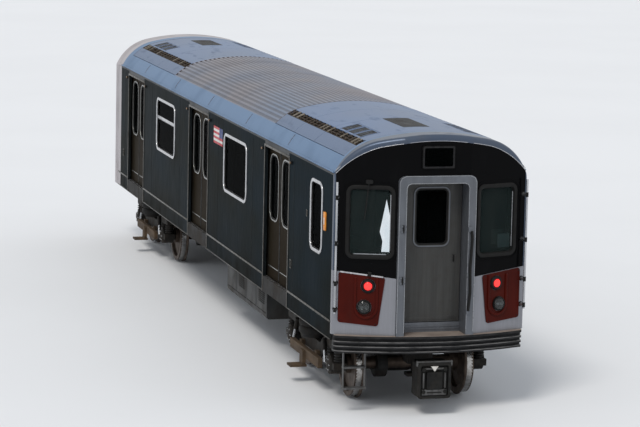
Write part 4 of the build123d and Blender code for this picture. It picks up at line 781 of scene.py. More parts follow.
def worn_finish(name, light, dark, metallic, rough, scale, dust, stretch=(1, 1, 1)):
    """Two tones, a directional grain and dust, for the plainer finishes."""
    f = Finish(name, metallic=metallic, roughness=rough, shine=0.2)
    base = f.mix(f.noise(scale, 5.0, stretch=stretch), light, dark)
    settled = f.noise(scale * 0.4, 7.0, 0.45, 0.75)
    f.coat(f.over(base, settled, dust, (0.06, 0.048, 0.038)),
           settled, rough * 0.85, min(rough * 1.4, 1.0))
    return f.bump(f.noise(scale * 3, stretch=stretch), 0.0008)


# Plainer finishes: light tone, dark tone, metallic, roughness, grain scale, dust, stretch
WORN = {
    "underframe_black": ((0.022, 0.021, 0.02), (0.008, 0.008, 0.008), 0.2, 0.75, 9, 0.5),
    "cap_grey": ((0.40, 0.37, 0.385), (0.33, 0.31, 0.32), 0.0, 0.5, 6, 0.12, (1, 1, 0.3)),
    "frame_aluminium": (
        (0.135, 0.145, 0.163), (0.112, 0.12, 0.135), 0.5, 0.4, 12, 0.08, (1, 1, 0.2)),
    "bright_trim": ((0.62, 0.62, 0.63), (0.42, 0.42, 0.44), 0.9, 0.24, 40, 0.1, (1, 1, 0.1)),
    # painted highlight: a bright finish for lines that stand in for lit edges
    "edge_bright": ((0.36, 0.37, 0.39), (0.28, 0.29, 0.31), 0.7, 0.3, 15, 0.1, (1, 1, 0.2)),
    "door_steel": (
        (0.060, 0.060, 0.058), (0.049, 0.049, 0.048), 0.5, 0.42, 25, 0.15, (1, 1, 0.05)),
    "jamb_steel": ((0.10, 0.095, 0.085), (0.06, 0.056, 0.05), 0.5, 0.4, 25, 0.2, (1, 1, 0.05)),
    "step_steel": ((0.11, 0.11, 0.11), (0.06, 0.06, 0.06), 0.4, 0.5, 20, 0.2, (1, 1, 0.3)),
    "mat_grey": ((0.045, 0.045, 0.046), (0.028, 0.028, 0.029), 0.0, 0.8, 20, 0.3),
    "seam_brown": ((0.13, 0.10, 0.09), (0.07, 0.058, 0.056), 0.2, 0.6, 20, 0.2),
    "trough_rust": ((0.055, 0.038, 0.024), (0.02, 0.015, 0.012), 0.2, 0.85, 25, 0.3),
    "trough_pale": ((0.22, 0.19, 0.15), (0.10, 0.085, 0.065), 0.2, 0.7, 20, 0.3),
    "sign_black": ((0.012, 0.012, 0.013), (0.007, 0.007, 0.008), 0.0, 0.3, 20, 0.1),
    "rail_steel": ((0.55, 0.56, 0.58), (0.36, 0.37, 0.39), 0.9, 0.26, 30, 0.1, (1, 1, 0.1)),
    "bogie_cast": ((0.03, 0.027, 0.024), (0.014, 0.013, 0.012), 0.3, 0.78, 14, 0.65),
    "coupler_black": ((0.016, 0.016, 0.015), (0.008, 0.008, 0.008), 0.3, 0.6, 14, 0.25),
    "motor_black": ((0.028, 0.027, 0.027), (0.012, 0.012, 0.012), 0.3, 0.6, 12, 0.5),
    "wheel_steel": ((0.11, 0.085, 0.068), (0.055, 0.04, 0.032), 0.6, 0.55, 10, 0.4),
    "tread_steel": ((0.45, 0.44, 0.43), (0.3, 0.29, 0.28), 0.95, 0.22, 20, 0.1),
    "spring_rubber": ((0.016, 0.016, 0.016), (0.01, 0.01, 0.01), 0.0, 0.8, 25, 0.4),
    "shoe_beam": ((0.09, 0.06, 0.035), (0.05, 0.034, 0.022), 0.0, 0.8, 12, 0.5, (1, 0.1, 1)),
    "case_grey": (
        (0.055, 0.056, 0.056), (0.032, 0.033, 0.034), 0.3, 0.62, 8, 0.5, (1, 1, 0.4)),
    "gasket_rubber": ((0.006, 0.006, 0.006), (0.004, 0.004, 0.004), 0.0, 0.6, 30, 0.05),
    "cab_panel": ((0.30, 0.31, 0.30), (0.24, 0.25, 0.25), 0.0, 0.5, 10, 0.1),
    "seat_plastic": ((0.48, 0.20, 0.05), (0.36, 0.14, 0.035), 0.0, 0.38, 8, 0.1),
    "floor_vinyl": ((0.11, 0.11, 0.115), (0.05, 0.05, 0.055), 0.0, 0.6, 40, 0.1),
    "desk_plastic": ((0.05, 0.052, 0.055), (0.035, 0.036, 0.038), 0.0, 0.55, 30, 0.1),
    "cab_fabric": ((0.035, 0.038, 0.05), (0.02, 0.022, 0.03), 0.0, 0.9, 160, 0.1),
    "marker_orange": ((0.80, 0.30, 0.03), (0.62, 0.20, 0.02), 0.0, 0.3, 12, 0.1),
    "marker_white": ((0.72, 0.70, 0.66), (0.55, 0.53, 0.5), 0.0, 0.4, 12, 0.1),
    "lamp_amber": ((0.20, 0.10, 0.03), (0.13, 0.065, 0.02), 0.0, 0.3, 12, 0.1),
    "ring_steel": ((0.34, 0.34, 0.33), (0.24, 0.24, 0.23), 0.8, 0.3, 30, 0.1, (1, 1, 0.1)),
    "notice_grey": ((0.16, 0.195, 0.21), (0.14, 0.17, 0.185), 0.0, 0.5, 12, 0.1),
    "lens_edge_red": ((0.20, 0.010, 0.012), (0.14, 0.007, 0.009), 0.0, 0.25, 12, 0.05),
    "decal_red": ((0.50, 0.05, 0.06), (0.38, 0.04, 0.05), 0.0, 0.45, 12, 0.1),
    "decal_blue": ((0.03, 0.05, 0.18), (0.025, 0.04, 0.13), 0.0, 0.45, 12, 0.1),
}

# Finishes made so far, by name
finishes_made = {}


def finish_named(key):
    """A finish by its name, made once."""
    if key not in finishes_made:
        if key in RECIPES:
            finishes_made[key] = RECIPES[key](bpy.context.scene.metro_colours)
        for table, recipe in ((PANES, tinted_glass), (LIT, lit_finish), (WORN, worn_finish)):
            if key in table:
                finishes_made[key] = recipe(key, *table[key])
    return finishes_made[key]


# Finishes of the solids, each with the nodes that it is for
NODE_FINISHES = {
    "underframe_black": ("underframe",), "roof_steel": ("roof",),
    "unit_steel": ("roof_units",), "side_steel": ("side_wall_left", "side_wall_right"),
    "front_silver": ("front_end",), "mask_black": ("front_mask",), "cap_grey": ("rear_end",),
    "lamp_panel_red": ("lamp_panels",),
    "gasket_rubber": ("head_lamps", "tail_lamps", "wiper"),
    "frame_aluminium": ("front_door_frame", "rear_door_frame"),
    "door_steel": ("front_door", "rear_door"), "leaf_steel": [leaf[0] for leaf in LEAVES],
    "window_glass": ("side_glass",), "screen_glass": ("front_glass",),
    "sign_black": ("route_sign",), "beam_steel": ("anticlimber",),
    "step_steel": ("step_ladder",), "rail_steel": ("grab_rails", "handrails"),
    "bogie_cast": ("bogie_frame_front", "bogie_frame_rear", "coupler_rear"),
    "spring_rubber": ("air_springs",),
    "motor_black": ("traction_motors_front", "traction_motors_rear"),
    "shoe_beam": ("shoe_gear_front", "shoe_gear_rear"),
    "wheel_steel": [f"wheelset_{number}" for number in range(1, 5)],
    "case_grey": ("inverter_case", "battery_case", "air_tanks"),
    "coupler_black": ("coupler_front",), "seat_plastic": ("benches",),
    "cab_panel": ("cab_partition", "cab_door"), "desk_plastic": ("cab_desk",),
    "cab_fabric": ("cab_seat",),
}


class METRO_OT_paint_nodes(bpy.types.Operator):
    """Give every solid of the frame its finish"""

    bl_idname = "metro.paint_nodes"
    bl_label = "Paint Nodes"

    def execute(self, context):
        keys = {name: key for key, names in NODE_FINISHES.items() for name in names}
        for name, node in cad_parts.items():
            node.data.materials.clear()
            node.data.materials.append(finish_named(keys[name]))
        return {"FINISHED"}


class METRO_OT_side_windows(bpy.types.Operator):
    """Frames, gaskets and transoms of the side windows"""

    bl_idname = "metro.side_windows"
    bl_label = "Side Windows"

    def execute(self, context):
        trim = context.scene.metro_trim
        lap = trim.frame_band - 0.012
        for name, side in SIDES:
            piece = Piece(f"side_window_frames_{name}", "root", "frame_aluminium")
            for y, width, low, high in SIDE_WINDOWS:
                tall, z = high - low, (low + high) / 2
                pane = on_side(side, y, z, x=GLASS_OUT_X)
                piece.add("bright_trim",
                          ring(width + 2 * lap, tall + 2 * lap, trim.frame_band,
                               trim.frame_proud + 0.004, WINDOW_R + lap, 0.004),
                          on_side(side, y, z, -0.004))
                piece.add("gasket_rubber",
                          ring(width, tall, trim.gasket_band, HALF_W - GLASS_OUT_X - 0.006,
                               WINDOW_R, 0.003), pane)
                if y > 0:
                    for up, bar, key in TRANSOM:
                        piece.add(key, block(width - 0.03, bar, 0.02, 0.004),
                                  at(pane, 0, up, 0.01))
            piece.done()
        return {"FINISHED"}


class METRO_OT_leaf_glazing(bpy.types.Operator):
    """Pane, gasket, edge rubber and kick strip of every side door leaf"""

    bl_idname = "metro.leaf_glazing"
    bl_label = "Leaf Glazing"

    def execute(self, context):
        width, height, corner = LEAF_WINDOW
        tall = LEAF_TOP_Z - LEAF_LOW_Z
        for leaf, side, way, door_y in LEAVES:
            piece = Piece(f"glazing_{leaf}", leaf, "window_glass")
            doorway = on_side(side, door_y, 0, x=LEAF_OUT_X)
            across = side * way
            window = at(doorway, across * DOOR_W / 4, LEAF_WINDOW_Z)
            piece.add("window_glass",
                      plate(width - 0.01, height - 0.01, 0.006, corner - 0.005),
                      at(window, z=-0.018))
            piece.add("gasket_rubber", ring(width, height, 0.016, 0.012, corner, 0.003),
                      at(window, z=-0.012))
            piece.add("ring_steel", ring(width + 0.05, height + 0.05, 0.022, 0.004,
                                         corner + 0.025, 0.0015), at(window, z=0.003))
            piece.add("gasket_rubber", plate(0.02, tall - 0.04, 0.0025, 0, 0.001),
                      at(doorway, across * (LEAF_GAP + 0.011), LEAF_LOW_Z + tall / 2))
            piece.add("ring_steel", plate(0.56, 0.012, 0.003, 0, 0.001),
                      at(doorway, across * 0.33, LEAF_LOW_Z + 0.16))
            piece.done()
        return {"FINISHED"}


class METRO_OT_doorways(bpy.types.Operator):
    """Jamb strips, headers, ribbed thresholds and lamps of the side doorways"""

    bl_idname = "metro.doorways"
    bl_label = "Doorways"

    def execute(self, context):
        tall = DOOR_TOP_Z - SKIRT_Z
        lamp_y, lamp_z = DOOR_LAMP
        for name, side in SIDES:
            piece = Piece(f"doorway_trim_{name}", "root", "frame_aluminium")
            for door_y in DOOR_YS:
                for way in (-1, 1):
                    jamb_y = door_y + way * (DOOR_W / 2 + 0.014)
                    piece.add("jamb_steel", plate(0.028, tall, 0.006, 0, 0.002),
                              on_side(side, jamb_y, SKIRT_Z + tall / 2))
                    lamp = on_side(side, door_y + way * lamp_y, lamp_z)
                    piece.add("gasket_rubber", plate(0.07, 0.045, 0.02, 0.01, 0.004), lamp)
                    piece.add("lamp_amber", plate(0.05, 0.026, 0.006, 0.008, 0.003),
                              at(lamp, z=0.02))
                piece.add("jamb_steel", plate(DOOR_W + 0.06, 0.03, 0.006, 0, 0.002),
                          on_side(side, door_y, DOOR_TOP_Z + 0.012))
                for rib in range(6):
                    piece.add("bright_trim", plate(DOOR_W - 0.02, 0.004, 0.002),
                              at(CAR, side * (SILL_X + SILL_PITCH * rib), door_y,
                                 FLOOR_Z + 0.0005, math.pi / 2))
            piece.done()
        return {"FINISHED"}


class METRO_OT_side_trim(bpy.types.Operator):
    """Belt and skirt strips, seams, markers, stripe panels and key boxes of the sides"""

    bl_idname = "metro.side_trim"
    bl_label = "Side Trim"

    def execute(self, context):
        stops = [SIDE_FRONT_Y + 0.01]
        for door_y in DOOR_YS:
            stops += [door_y - DOOR_W / 2 - 0.035, door_y + DOOR_W / 2 + 0.035]
        stops.append(SIDE_REAR_Y - 0.01)
        for name, side in SIDES:
            piece = Piece(f"side_trim_{name}", "root", "side_steel")
            for start, end in zip(stops[::2], stops[1::2]):
                middle = (start + end) / 2
                piece.add("jamb_steel", plate(end - start, 0.028, 0.007, 0, 0.003),
                          on_side(side, middle, BELT_Z))
                piece.add("jamb_steel", plate(end - start, 0.012, 0.004, 0, 0.0015),
                          on_side(side, middle, SKIRT_Z + 0.01))
            for y in SEAM_YS:
                piece.add("gasket_rubber", plate(0.006, EAVE_Z - SKIRT_Z - 0.1, 0.0015),
                          on_side(side, y, (EAVE_Z + SKIRT_Z) / 2))
            # orange marker with a pale middle, near the driving end
            piece.add("marker_orange", plate(0.1, 0.24, 0.016, 0.012, 0.004),
                      on_side(side, *MARKER))
            piece.add("marker_white", plate(0.03, 0.09, 0.004, 0.01, 0.001),
                      on_side(side, *MARKER, 0.016))
            # plain striped panel beside the middle window
            piece.add("decal_blue", plate(0.22, 0.148, 0.002), on_side(side, *STRIPES_CORNER))
            for step, (wide, y) in enumerate(STRIPES):
                piece.add("marker_white" if step % 2 else "decal_red",
                          plate(wide, STRIPE, 0.002),
                          on_side(side, y, STRIPES_TOP_Z - STRIPE * step))
            # key boxes, each with a round push
            for y, z, wide, tall in KEY_BOXES:
                box = on_side(side, y, z)
                piece.add("jamb_steel", ring(wide, tall, 0.01, 0.007, 0.012, 0.002), box)
                piece.add("gasket_rubber",
                          turned(12, (0.0, 0.004), (0.012, 0.004), (0.013, 0.0)), box)
            piece.done()
        return {"FINISHED"}


class METRO_OT_front_glazing(bpy.types.Operator):
    """Windscreen frames, notice, drawn blind, visor beads and sign glass"""

    bl_idname = "metro.front_glazing"
    bl_label = "Front Glazing"

    def execute(self, context):
        width, height, corner = SCREEN
        piece = Piece("windscreen_gaskets", "root", "mask_black")
        for _, side in SIDES:
            screen = on_rake(side, *SCREEN_AT)
            for key, grow, band, thick, rounder, edge, out in SCREEN_RINGS:
                piece.add(key, ring(width + grow, height + grow, band, thick,
                                    corner + rounder, edge), at(screen, z=out))
            # painted highlights as bright lips along the edge to the car's right and the left
            # pane's foot, standing in for sunlit sashes
            piece.add("edge_bright", block(0.011, height - 0.16, 0.006, 0.002),
                      at(screen, width / 2 - LIP_IN, 0, LIP_OUT))
            if side < 0:
                piece.add("edge_bright", block(width - 0.14, 0.012, 0.006, 0.002),
                          at(screen, 0, LIP_IN - height / 2, LIP_OUT))
        # blank notice at the foot of the right pane
        piece.add("notice_grey", plate(0.19, 0.18, 0.0015, 0.006), on_rake(1, *NOTICE_AT))
        piece.done()
        # drawn blind at the inner edge of the left pane, glowing with painted sunlight
        piece = Piece("screen_blind", "root", "cab_panel")
        outline = [(-along_rake(-x), RAIL + z) for x, z in BLIND]
        piece.add("sun_blind", cutout(outline, 0.004), at(rake_frame(-1), z=-0.052))
        piece.done()
        piece = Piece("visor_beads", "root", "front_silver")
        piece.add("bright_trim", pipe(0.005, 8, *visor_line(0.004, -0.004)))
        piece.add("bright_trim", pipe(0.004, 8, *visor_line(0.034, -0.02)))
        piece.done()
        piece = Piece("sign_glass", "root", "sign_black")
        sign = at(end_frame(-1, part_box("route_sign")[0].y), 0, SIGN_Z)
        piece.add("window_glass", plate(0.376, 0.236, 0.003, 0.018), at(sign, z=-0.006))
        piece.add("gasket_rubber", ring(0.444, 0.304, 0.01, 0.004, 0.03, 0.001),
                  at(sign, z=-0.004))
        piece.done()
        return {"FINISHED"}


class METRO_OT_end_doors(bpy.types.Operator):
    """Bezels, panes, kick strips, latches and jamb hardware of both end doors"""

    bl_idname = "metro.end_doors"
    bl_label = "End Doors"

    def execute(self, context):
        width, height = END_WINDOW
        for name, out, corner in END_DOORS:
            face = max(out, 0)
            leaf = end_frame(out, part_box(f"{name}_door")[face].y - out * BEZEL_T)
            window = at(leaf, 0, END_WINDOW_Z)
            piece = Piece(f"{name}_door_fittings", f"{name}_door", "door_steel")
            piece.add("frame_aluminium", ring(width + 0.052, height + 0.052, 0.016,
                                              BEZEL_T + 0.003, corner + 0.026, 0.0015), window)
            piece.add("gasket_rubber", ring(width, height, 0.02, 0.014, corner, 0.003),
                      at(window, z=-0.014))
            piece.add("window_glass", plate(width - 0.004, height - 0.004, 0.006, corner),
                      at(window, z=-0.022))
            piece.add("door_steel", plate(0.74, 0.05, 0.003, 0, 0.001),
                      at(leaf, 0, KICK_STRIP_Z))
            # recessed latch with its lever
            latch = at(leaf, *LATCH_AT)
            piece.add("door_steel", ring(0.07, 0.12, 0.01, 0.004, 0.012, 0.001), latch)
            piece.add("gasket_rubber", block(0.018, 0.09, 0.012, 0.004), at(latch, z=0.008))
            knuckle = 0.01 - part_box(f"{name}_door")[1].x
            for z in HINGE_ZS:
                piece.add("frame_aluminium", pipe(0.009, 8, (knuckle, z - 0.05, 0.004),
                                                  (knuckle, z + 0.05, 0.004)), leaf)
            piece.done()

            jamb = end_frame(out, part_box(f"{name}_door_frame")[face].y)
            piece = Piece(f"{name}_jamb_hardware", "root", "frame_aluminium")
            for z in PULL_ZS:
                for shift in (-0.035, 0.035):
                    piece.add("frame_aluminium", plate(0.075, 0.022, 0.014, 0.004, 0.003),
                              at(jamb, PULL_X, z + shift))
                piece.add("gasket_rubber", pipe(0.009, 8, (PULL_X, z - 0.05, 0.014),
                                                (PULL_X, z + 0.05, 0.014)), jamb)
            # guard bar that stands along the right jamb, on two feet
            piece.add("gasket_rubber", pipe(0.019, 8, *GUARD_BAR), jamb)
            for x, z in GUARD_FEET:
                piece.add("frame_aluminium", plate(0.05, 0.07, 0.02, 0.012, 0.004),
                          at(jamb, x, z))
            # painted highlights as bright lines along both edges of the frame
            for half, top, bend in FRAME_EDGES:
                rest = bend * (1 - math.sqrt(0.5))
                line = [(half, 1.09, 0.001), (half, top - bend, 0.001),
                        (half - rest, top - rest, 0.001), (half - bend, top, 0.001)]
                line += [(-x, z, lift) for x, z, lift in reversed(line)]
                piece.add("edge_bright", pipe(0.0045, 8, *line), jamb)
            piece.done()
        return {"FINISHED"}


class METRO_OT_end_lamps(bpy.types.Operator):
    """Tail lamps, head lamps and the trim of their panels"""

    bl_idname = "metro.end_lamps"
    bl_label = "End Lamps"

    def execute(self, context):
        tails = Piece("tail_lamp_lenses", "root", "tail_lamp_red")
        heads = Piece("head_lamp_lenses", "root", "head_lamp_glass")
        trim = Piece("lamp_panel_trim", "root", "lamp_panel_red")
        for _, side in SIDES:
            tail = on_rake(side, *TAIL_LAMP, LAMP_OUT)
            tails.add("tail_lamp_red", lens(32, 0.05, 0.005, 0.013,
                                            (0, 0.3, 0.6, 0.9, 1.2, math.pi / 2)), tail)
            tails.add("lens_edge_red",
                      turned(32, (0.05, 0.008), (0.058, 0.006), (0.065, -0.002)), tail)
            tails.add("gasket_rubber", turned(32, (0.062, 0.0), (0.068, 0.006),
                                              (0.078, 0.004), (0.086, -0.008)), tail)
            head = on_rake(side, *HEAD_LAMP, LAMP_OUT)
            heads.add("gasket_rubber",
                      turned(36, (0.084, -0.004), (0.09, 0.008), (0.08, 0.012),
                             (0.074, 0.002), (0.04, -0.002), (0.0, -0.001)), head)
            for x in (-0.03, 0.032):
                heads.add("bright_trim", turned(24, (0.0, 0.001), (0.012, 0.002),
                                                (0.024, 0.006), (0.028, 0.009),
                                                (0.031, 0.004)), at(head, x))
            heads.add("head_lamp_glass", lens(36, 0.076, 0.006, 0.012,
                                              (0, 0.35, 0.7, 1.05, math.pi / 2)), head)
            for x, z in PANEL_SCREWS:
                trim.add("gasket_rubber", turned(8, (0.0, 0.005), (0.008, 0.004), (0.01, 0.0)),
                         on_rake(side, x, z, 0.013))
        # bright cap along the top of the left panel, with a dark catch box beside it
        cap = on_rake(-1, *PANEL_CAP, -PANEL_SLOPE)
        trim.add("bright_trim", plate(0.56, 0.02, 0.016, 0, 0.004), cap)
        trim.add("gasket_rubber", block(0.05, 0.06, 0.03, 0.006), at(cap, 0.1, 0.02, 0.02))
        for piece in (tails, heads, trim):
            piece.done()
        return {"FINISHED"}


class METRO_OT_roof_details(bpy.types.Operator):
    """Unit troughs, intake grilles, walkway mats and seams of the roof"""

    bl_idname = "metro.roof_details"
    bl_label = "Roof Details"

    def execute(self, context):
        draw = random.Random(context.scene.metro_stage.seed)
        piece = Piece("roof_troughs", "root", "unit_steel")
        for start, end, _ in UNIT_BEDS:
            low, high = start + 0.06, end - 0.06
            for _, side in SIDES:
                piece.add("trough_rust", on_roof(block(0.118, high - low, 0.008),
                                                 side * TROUGH_X, (low + high) / 2, -0.026))
                for pipe_x, key in TROUGH_PIPES:
                    x, z = arch(turn_at(side * pipe_x), -0.008)
                    piece.add(key, pipe(0.01, 8, (x, low, z), (x, high, z)))
                y = low + 0.1
                while y < high - 0.08:
                    part = block(0.115, 0.03 + 0.05 * draw.random(), 0.014, 0.003)
                    on_roof(part, side * (0.912 + 0.008 * draw.random()), y, -0.004)
                    piece.add(draw.choice(("trough_rust", "trough_rust", "trough_pale")), part)
                    y += 0.13 + 0.12 * draw.random()
        piece.done()

        grilles = Piece("roof_grilles", "root", "unit_steel")
        mats = Piece("walkway_mats", "root", "unit_steel")
        mat_x, mat_wide, mat_long = MAT
        for start, end, way in UNIT_BEDS:
            edge = start if way < 0 else end
            for row in GRILLE_ROWS:
                y = edge - way * row
                for _, side in SIDES:
                    x = side * GRILLE_X
                    grilles.add("gasket_rubber", on_roof(block(0.26, 0.26, 0.004), x, y, -0.029))
                    grilles.add("unit_steel", on_roof(ring(0.29, 0.29, 0.012, 0.005, 0.012,
                                                           0.002), x, y, -0.002))
                    for bar in range(-2, 3):
                        grilles.add("gasket_rubber", on_roof(plate(0.041, 0.3, 0.0025, 0.012),
                                                             x + BAR_PITCH * bar, y, -0.003))
            mat_y = edge - way * (0.48 + mat_long / 2)
            mats.add("mat_grey", on_roof(plate(mat_wide, mat_long, 0.001, 0.02),
                                         mat_x, mat_y, -0.002))
            for rib in range(16):
                mats.add("case_grey",
                         on_roof(block(0.33, 0.02, 0.001), mat_x,
                                 mat_y - mat_long / 2 + 0.06 + MAT_PITCH * rib, -0.0007))
        grilles.done()
        mats.done()

        piece = Piece("roof_seams", "root", "roof_steel")
        for y in (UNIT_BEDS[0][0], *FLUTED_YS, UNIT_BEDS[1][1]):
            piece.add("seam_brown", on_roof(block(2 * SEAM_X - 0.01, 0.028, 0.012, 0.003),
                                            0, y, -0.0065))
        for _, side in SIDES:
            for y in COVE_SEAM_YS:
                piece.add("seam_brown", on_roof(block(0.1, 0.014, 0.006), side * 1.21, y, 0))
        piece.done()
        return {"FINISHED"}


class METRO_OT_bogie_details(bpy.types.Operator):
    """Springs, cover bolts, dampers, brake cylinders and cables of both bogies"""

    bl_idname = "metro.bogie_details"
    bl_label = "Bogie Details"

    def execute(self, context):
        for body, centre_y in BOGIES:
            piece = Piece(f"{body}_details", body, "bogie_cast")
            for _, side in SIDES:
                x = side * JOURNAL_X
                for way in (-1, 1):
                    axle_y = centre_y + way * AXLE_HALF
                    for shift in (-0.175, 0.175):
                        spring = coil_line(x, axle_y + shift, AXLE_Z + 0.055, RAIL + 0.63,
                                           0.063, 4)
                        piece.add("motor_black", pipe(0.011, 6, *spring))
                    cover = on_side(side, axle_y, AXLE_Z, 0.085, JOURNAL_X)
                    for step in range(6):
                        turn = step * math.pi / 3
                        piece.add("rail_steel",
                                  turned(6, (0.0, 0.012), (0.01, 0.012), (0.012, 0.0)),
                                  at(cover, 0.08 * math.cos(turn), 0.08 * math.sin(turn),
                                     0.024))
                    # damper from the side frame down to the box wing
                    top = Vector((x + side * 0.075, axle_y - way * 0.33, 0.74))
                    low = Vector((x + side * 0.095, axle_y - way * 0.2, 0.44))
                    middle = (top + low) / 2
                    piece.add("bogie_cast", pipe(0.03, 12, top, middle))
                    piece.add("rail_steel", pipe(0.02, 12, middle, low))
                    # brake cylinder on its unit, inside the wheelbase
                    ends = [(side * 0.762, centre_y + way * reach, AXLE_Z + 0.13)
                            for reach in (0.52, 0.3)]
                    piece.add("motor_black", pipe(0.055, 14, *ends))
                cable = [(x, centre_y + y, z) for y, z in CABLE_RUN]
                piece.add("gasket_rubber", pipe(0.008, 8, *cable))
            piece.done()
        return {"FINISHED"}


class METRO_OT_underfloor(bpy.types.Operator):
    """Case doors, louvres and latches, tank straps and pipes under the floor"""

    bl_idname = "metro.underfloor"
    bl_label = "Underfloor"

    def execute(self, context):
        piece = Piece("underfloor_fittings", "root", "case_grey")
        for node, side in (("inverter_case", -1), ("battery_case", 1)):
            low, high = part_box(node)
            face_x = max(abs(low.x), abs(high.x))
            tall, width = high.z - low.z, (high.y - low.y) / CASE_DOORS
            for step in range(CASE_DOORS):
                door = on_side(side, low.y + width * (step + 0.5),
                               (low.z + high.z) / 2 + 0.015, -0.012, face_x)
                piece.add("case_grey", plate(width - 0.08, tall - 0.15, 0.014, 0.02, 0.004),
                          door)
                if step % 2 == 0:
                    for row in range(7):
                        piece.add("underframe_black", block(width * 0.55, 0.012, 0.016, 0.003),
                                  at(door, 0, -0.09 + 0.03 * row, 0.014))
                for way in (-1, 1):
                    piece.add("rail_steel", block(0.03, 0.07, 0.018, 0.004),
                              at(door, way * 0.3 * width, tall / 2 - 0.1, 0.015))
        for tank_y in TANK_YS:
            for shift in (-0.4, 0.4):
                piece.add("rail_steel", turned(32, (0.165, -0.02), (0.169, -0.02),
                                               (0.169, 0.02), (0.165, 0.02)),
                          at(end_frame(-1, tank_y + shift), 0.78, RAIL + 0.76))
        for x, z, radius in FLOOR_PIPES:
            piece.add("underframe_black", pipe(radius, 10, (x, -4.0, z), (x, 4.0, z)))
        piece.done()
        return {"FINISHED"}


class METRO_OT_interior(bpy.types.Operator):
    """Ceiling lights, floor, cab locker and desk controls seen through the glass"""

    bl_idname = "metro.interior"
    bl_label = "Interior"

    def execute(self, context):
        partition_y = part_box("cab_partition")[0].y
        length = SIDE_REAR_Y - partition_y
        piece = Piece("saloon_lights_floor", "root", "cab_panel")
        for x in (-0.55, 0.55):
            light = at(CAR, x, partition_y + length / 2 - 0.05, CEILING_Z)
            piece.add("lamp_white", plate(0.16, length - 0.7, 0.03, 0.02, 0.01),
                      light @ Matrix.Rotation(math.pi, 4, "Y"))
        piece.add("floor_vinyl", plate(2.2, length - 0.1, 0.003),
                  at(CAR, 0, partition_y + length / 2, FLOOR_Z))
        piece.done()
        piece = Piece("cab_locker", "root", "cab_panel")
        piece.add("case_grey", block(0.55, 0.28, 1.9, 0.02),
                  at(CAR, 0.8, -7.2, FLOOR_Z + 0.95))
        piece.add("marker_white", plate(0.16, 0.2, 0.004, 0.01),
                  at(end_frame(-1, -7.345), 0.95, 2.25))
        piece.done()
        piece = Piece("desk_controls", "root", "desk_plastic")
        desk = (at(CAR, -0.8, -7.1, FLOOR_Z + 0.9)
                @ Matrix.Rotation(math.radians(-27), 4, "X"))
        piece.add("gasket_rubber", plate(0.5, 0.22, 0.006, 0.02, 0.002), desk)
        for step in range(6):
            piece.add("rail_steel" if step % 2 else "decal_red",
                      turned(12, (0.0, 0.018), (0.011, 0.016), (0.013, 0.0)),
                      at(desk, -0.19 + 0.05 * step, 0.05, 0.006))
        piece.add("rail_steel", pipe(0.012, 8, (0.16, -0.03, 0.0), (0.16, -0.05, 0.1)), desk)
        piece.add("gasket_rubber", turned(16, (0.0, 0.02), (0.02, 0.012), (0.022, -0.012),
                                          (0.0, -0.02)), at(desk, 0.16, -0.052, 0.11))
        piece.done()
        return {"FINISHED"}


class METRO_OT_coupler_details(bpy.types.Operator):
    """Face bands, hook, pins and top bar of the front coupler"""

    bl_idname = "metro.coupler_details"
    bl_label = "Coupler Details"

    def execute(self, context):
        piece = Piece("coupler_face", "coupler_front", "bogie_cast")
        face = at(end_frame(-1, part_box("coupler_front")[0].y + 0.045), 0, COUPLER_FACE_Z)
        for key, x, z, wide, tall, deep in COUPLER_BANDS:
            piece.add(key, plate(wide, tall, deep, 0.006, 0.004), at(face, x, z))
        # pale hook over the middle of the face
        piece.add("marker_white", cutout(((-0.05, 0.035), (0, -0.035), (0.05, 0.035)),
                                         0.043, 0.003), at(face, 0, 0.153))
        for x in (-0.145, 0.145):
            for z in (-0.145, 0.145):
                piece.add("step_steel", turned(16, (0.0, 0.044), (0.012, 0.044),
                                               (0.018, 0.038), (0.022, 0.0)), at(face, x, z))
        # bar across the top of the head, with a lug at each end
        bar = at(face, 0, 0.243, 0.01)
        piece.add("step_steel", block(0.48, 0.018, 0.05, 0.004), bar)
        for x in (-0.228, 0.228):
            piece.add("step_steel", block(0.026, 0.07, 0.04, 0.005), at(bar, x, -0.02))
        piece.done()
        return {"FINISHED"}


class METRO_OT_grab_clamps(bpy.types.Operator):
    """Black clamps and seats of the grab rails at the front corners"""

    bl_idname = "metro.grab_clamps"
    bl_label = "Grab Clamps"

    def execute(self, context):
        piece = Piece("grab_clamps", "root", "rail_steel")
        for _, side in SIDES:
            for z, seat in GRAB_SEATS:
                foot = on_rake(side, GRAB_X, RAIL + z)
                piece.add("gasket_rubber", turned(20, (0.0, seat + 0.006), (0.03, seat + 0.006),
                                                  (0.034, seat)), foot)
                piece.add("gasket_rubber", pipe(0.02, 14, (0, -0.03, GRAB_STAND),
                                                (0, 0.03, GRAB_STAND)), foot)
        piece.done()
        return {"FINISHED"}


class METRO_OT_wheel_treads(bpy.types.Operator):
    """Bright worn bands of the wheel treads and flanges"""

    bl_idname = "metro.wheel_treads"
    bl_label = "Wheel Treads"

    def execute(self, context):
        axle_ys = [y + way * AXLE_HALF for _, y in BOGIES for way in (-1, 1)]
        for number, axle_y in enumerate(axle_ys, start=1):
            piece = Piece(f"wheel_treads_{number}", f"wheelset_{number}", "wheel_steel")
            for _, side in SIDES:
                piece.add("tread_steel", turned(64, *TREAD), on_side(side, axle_y, AXLE_Z, x=0))
            piece.done()
        return {"FINISHED"}


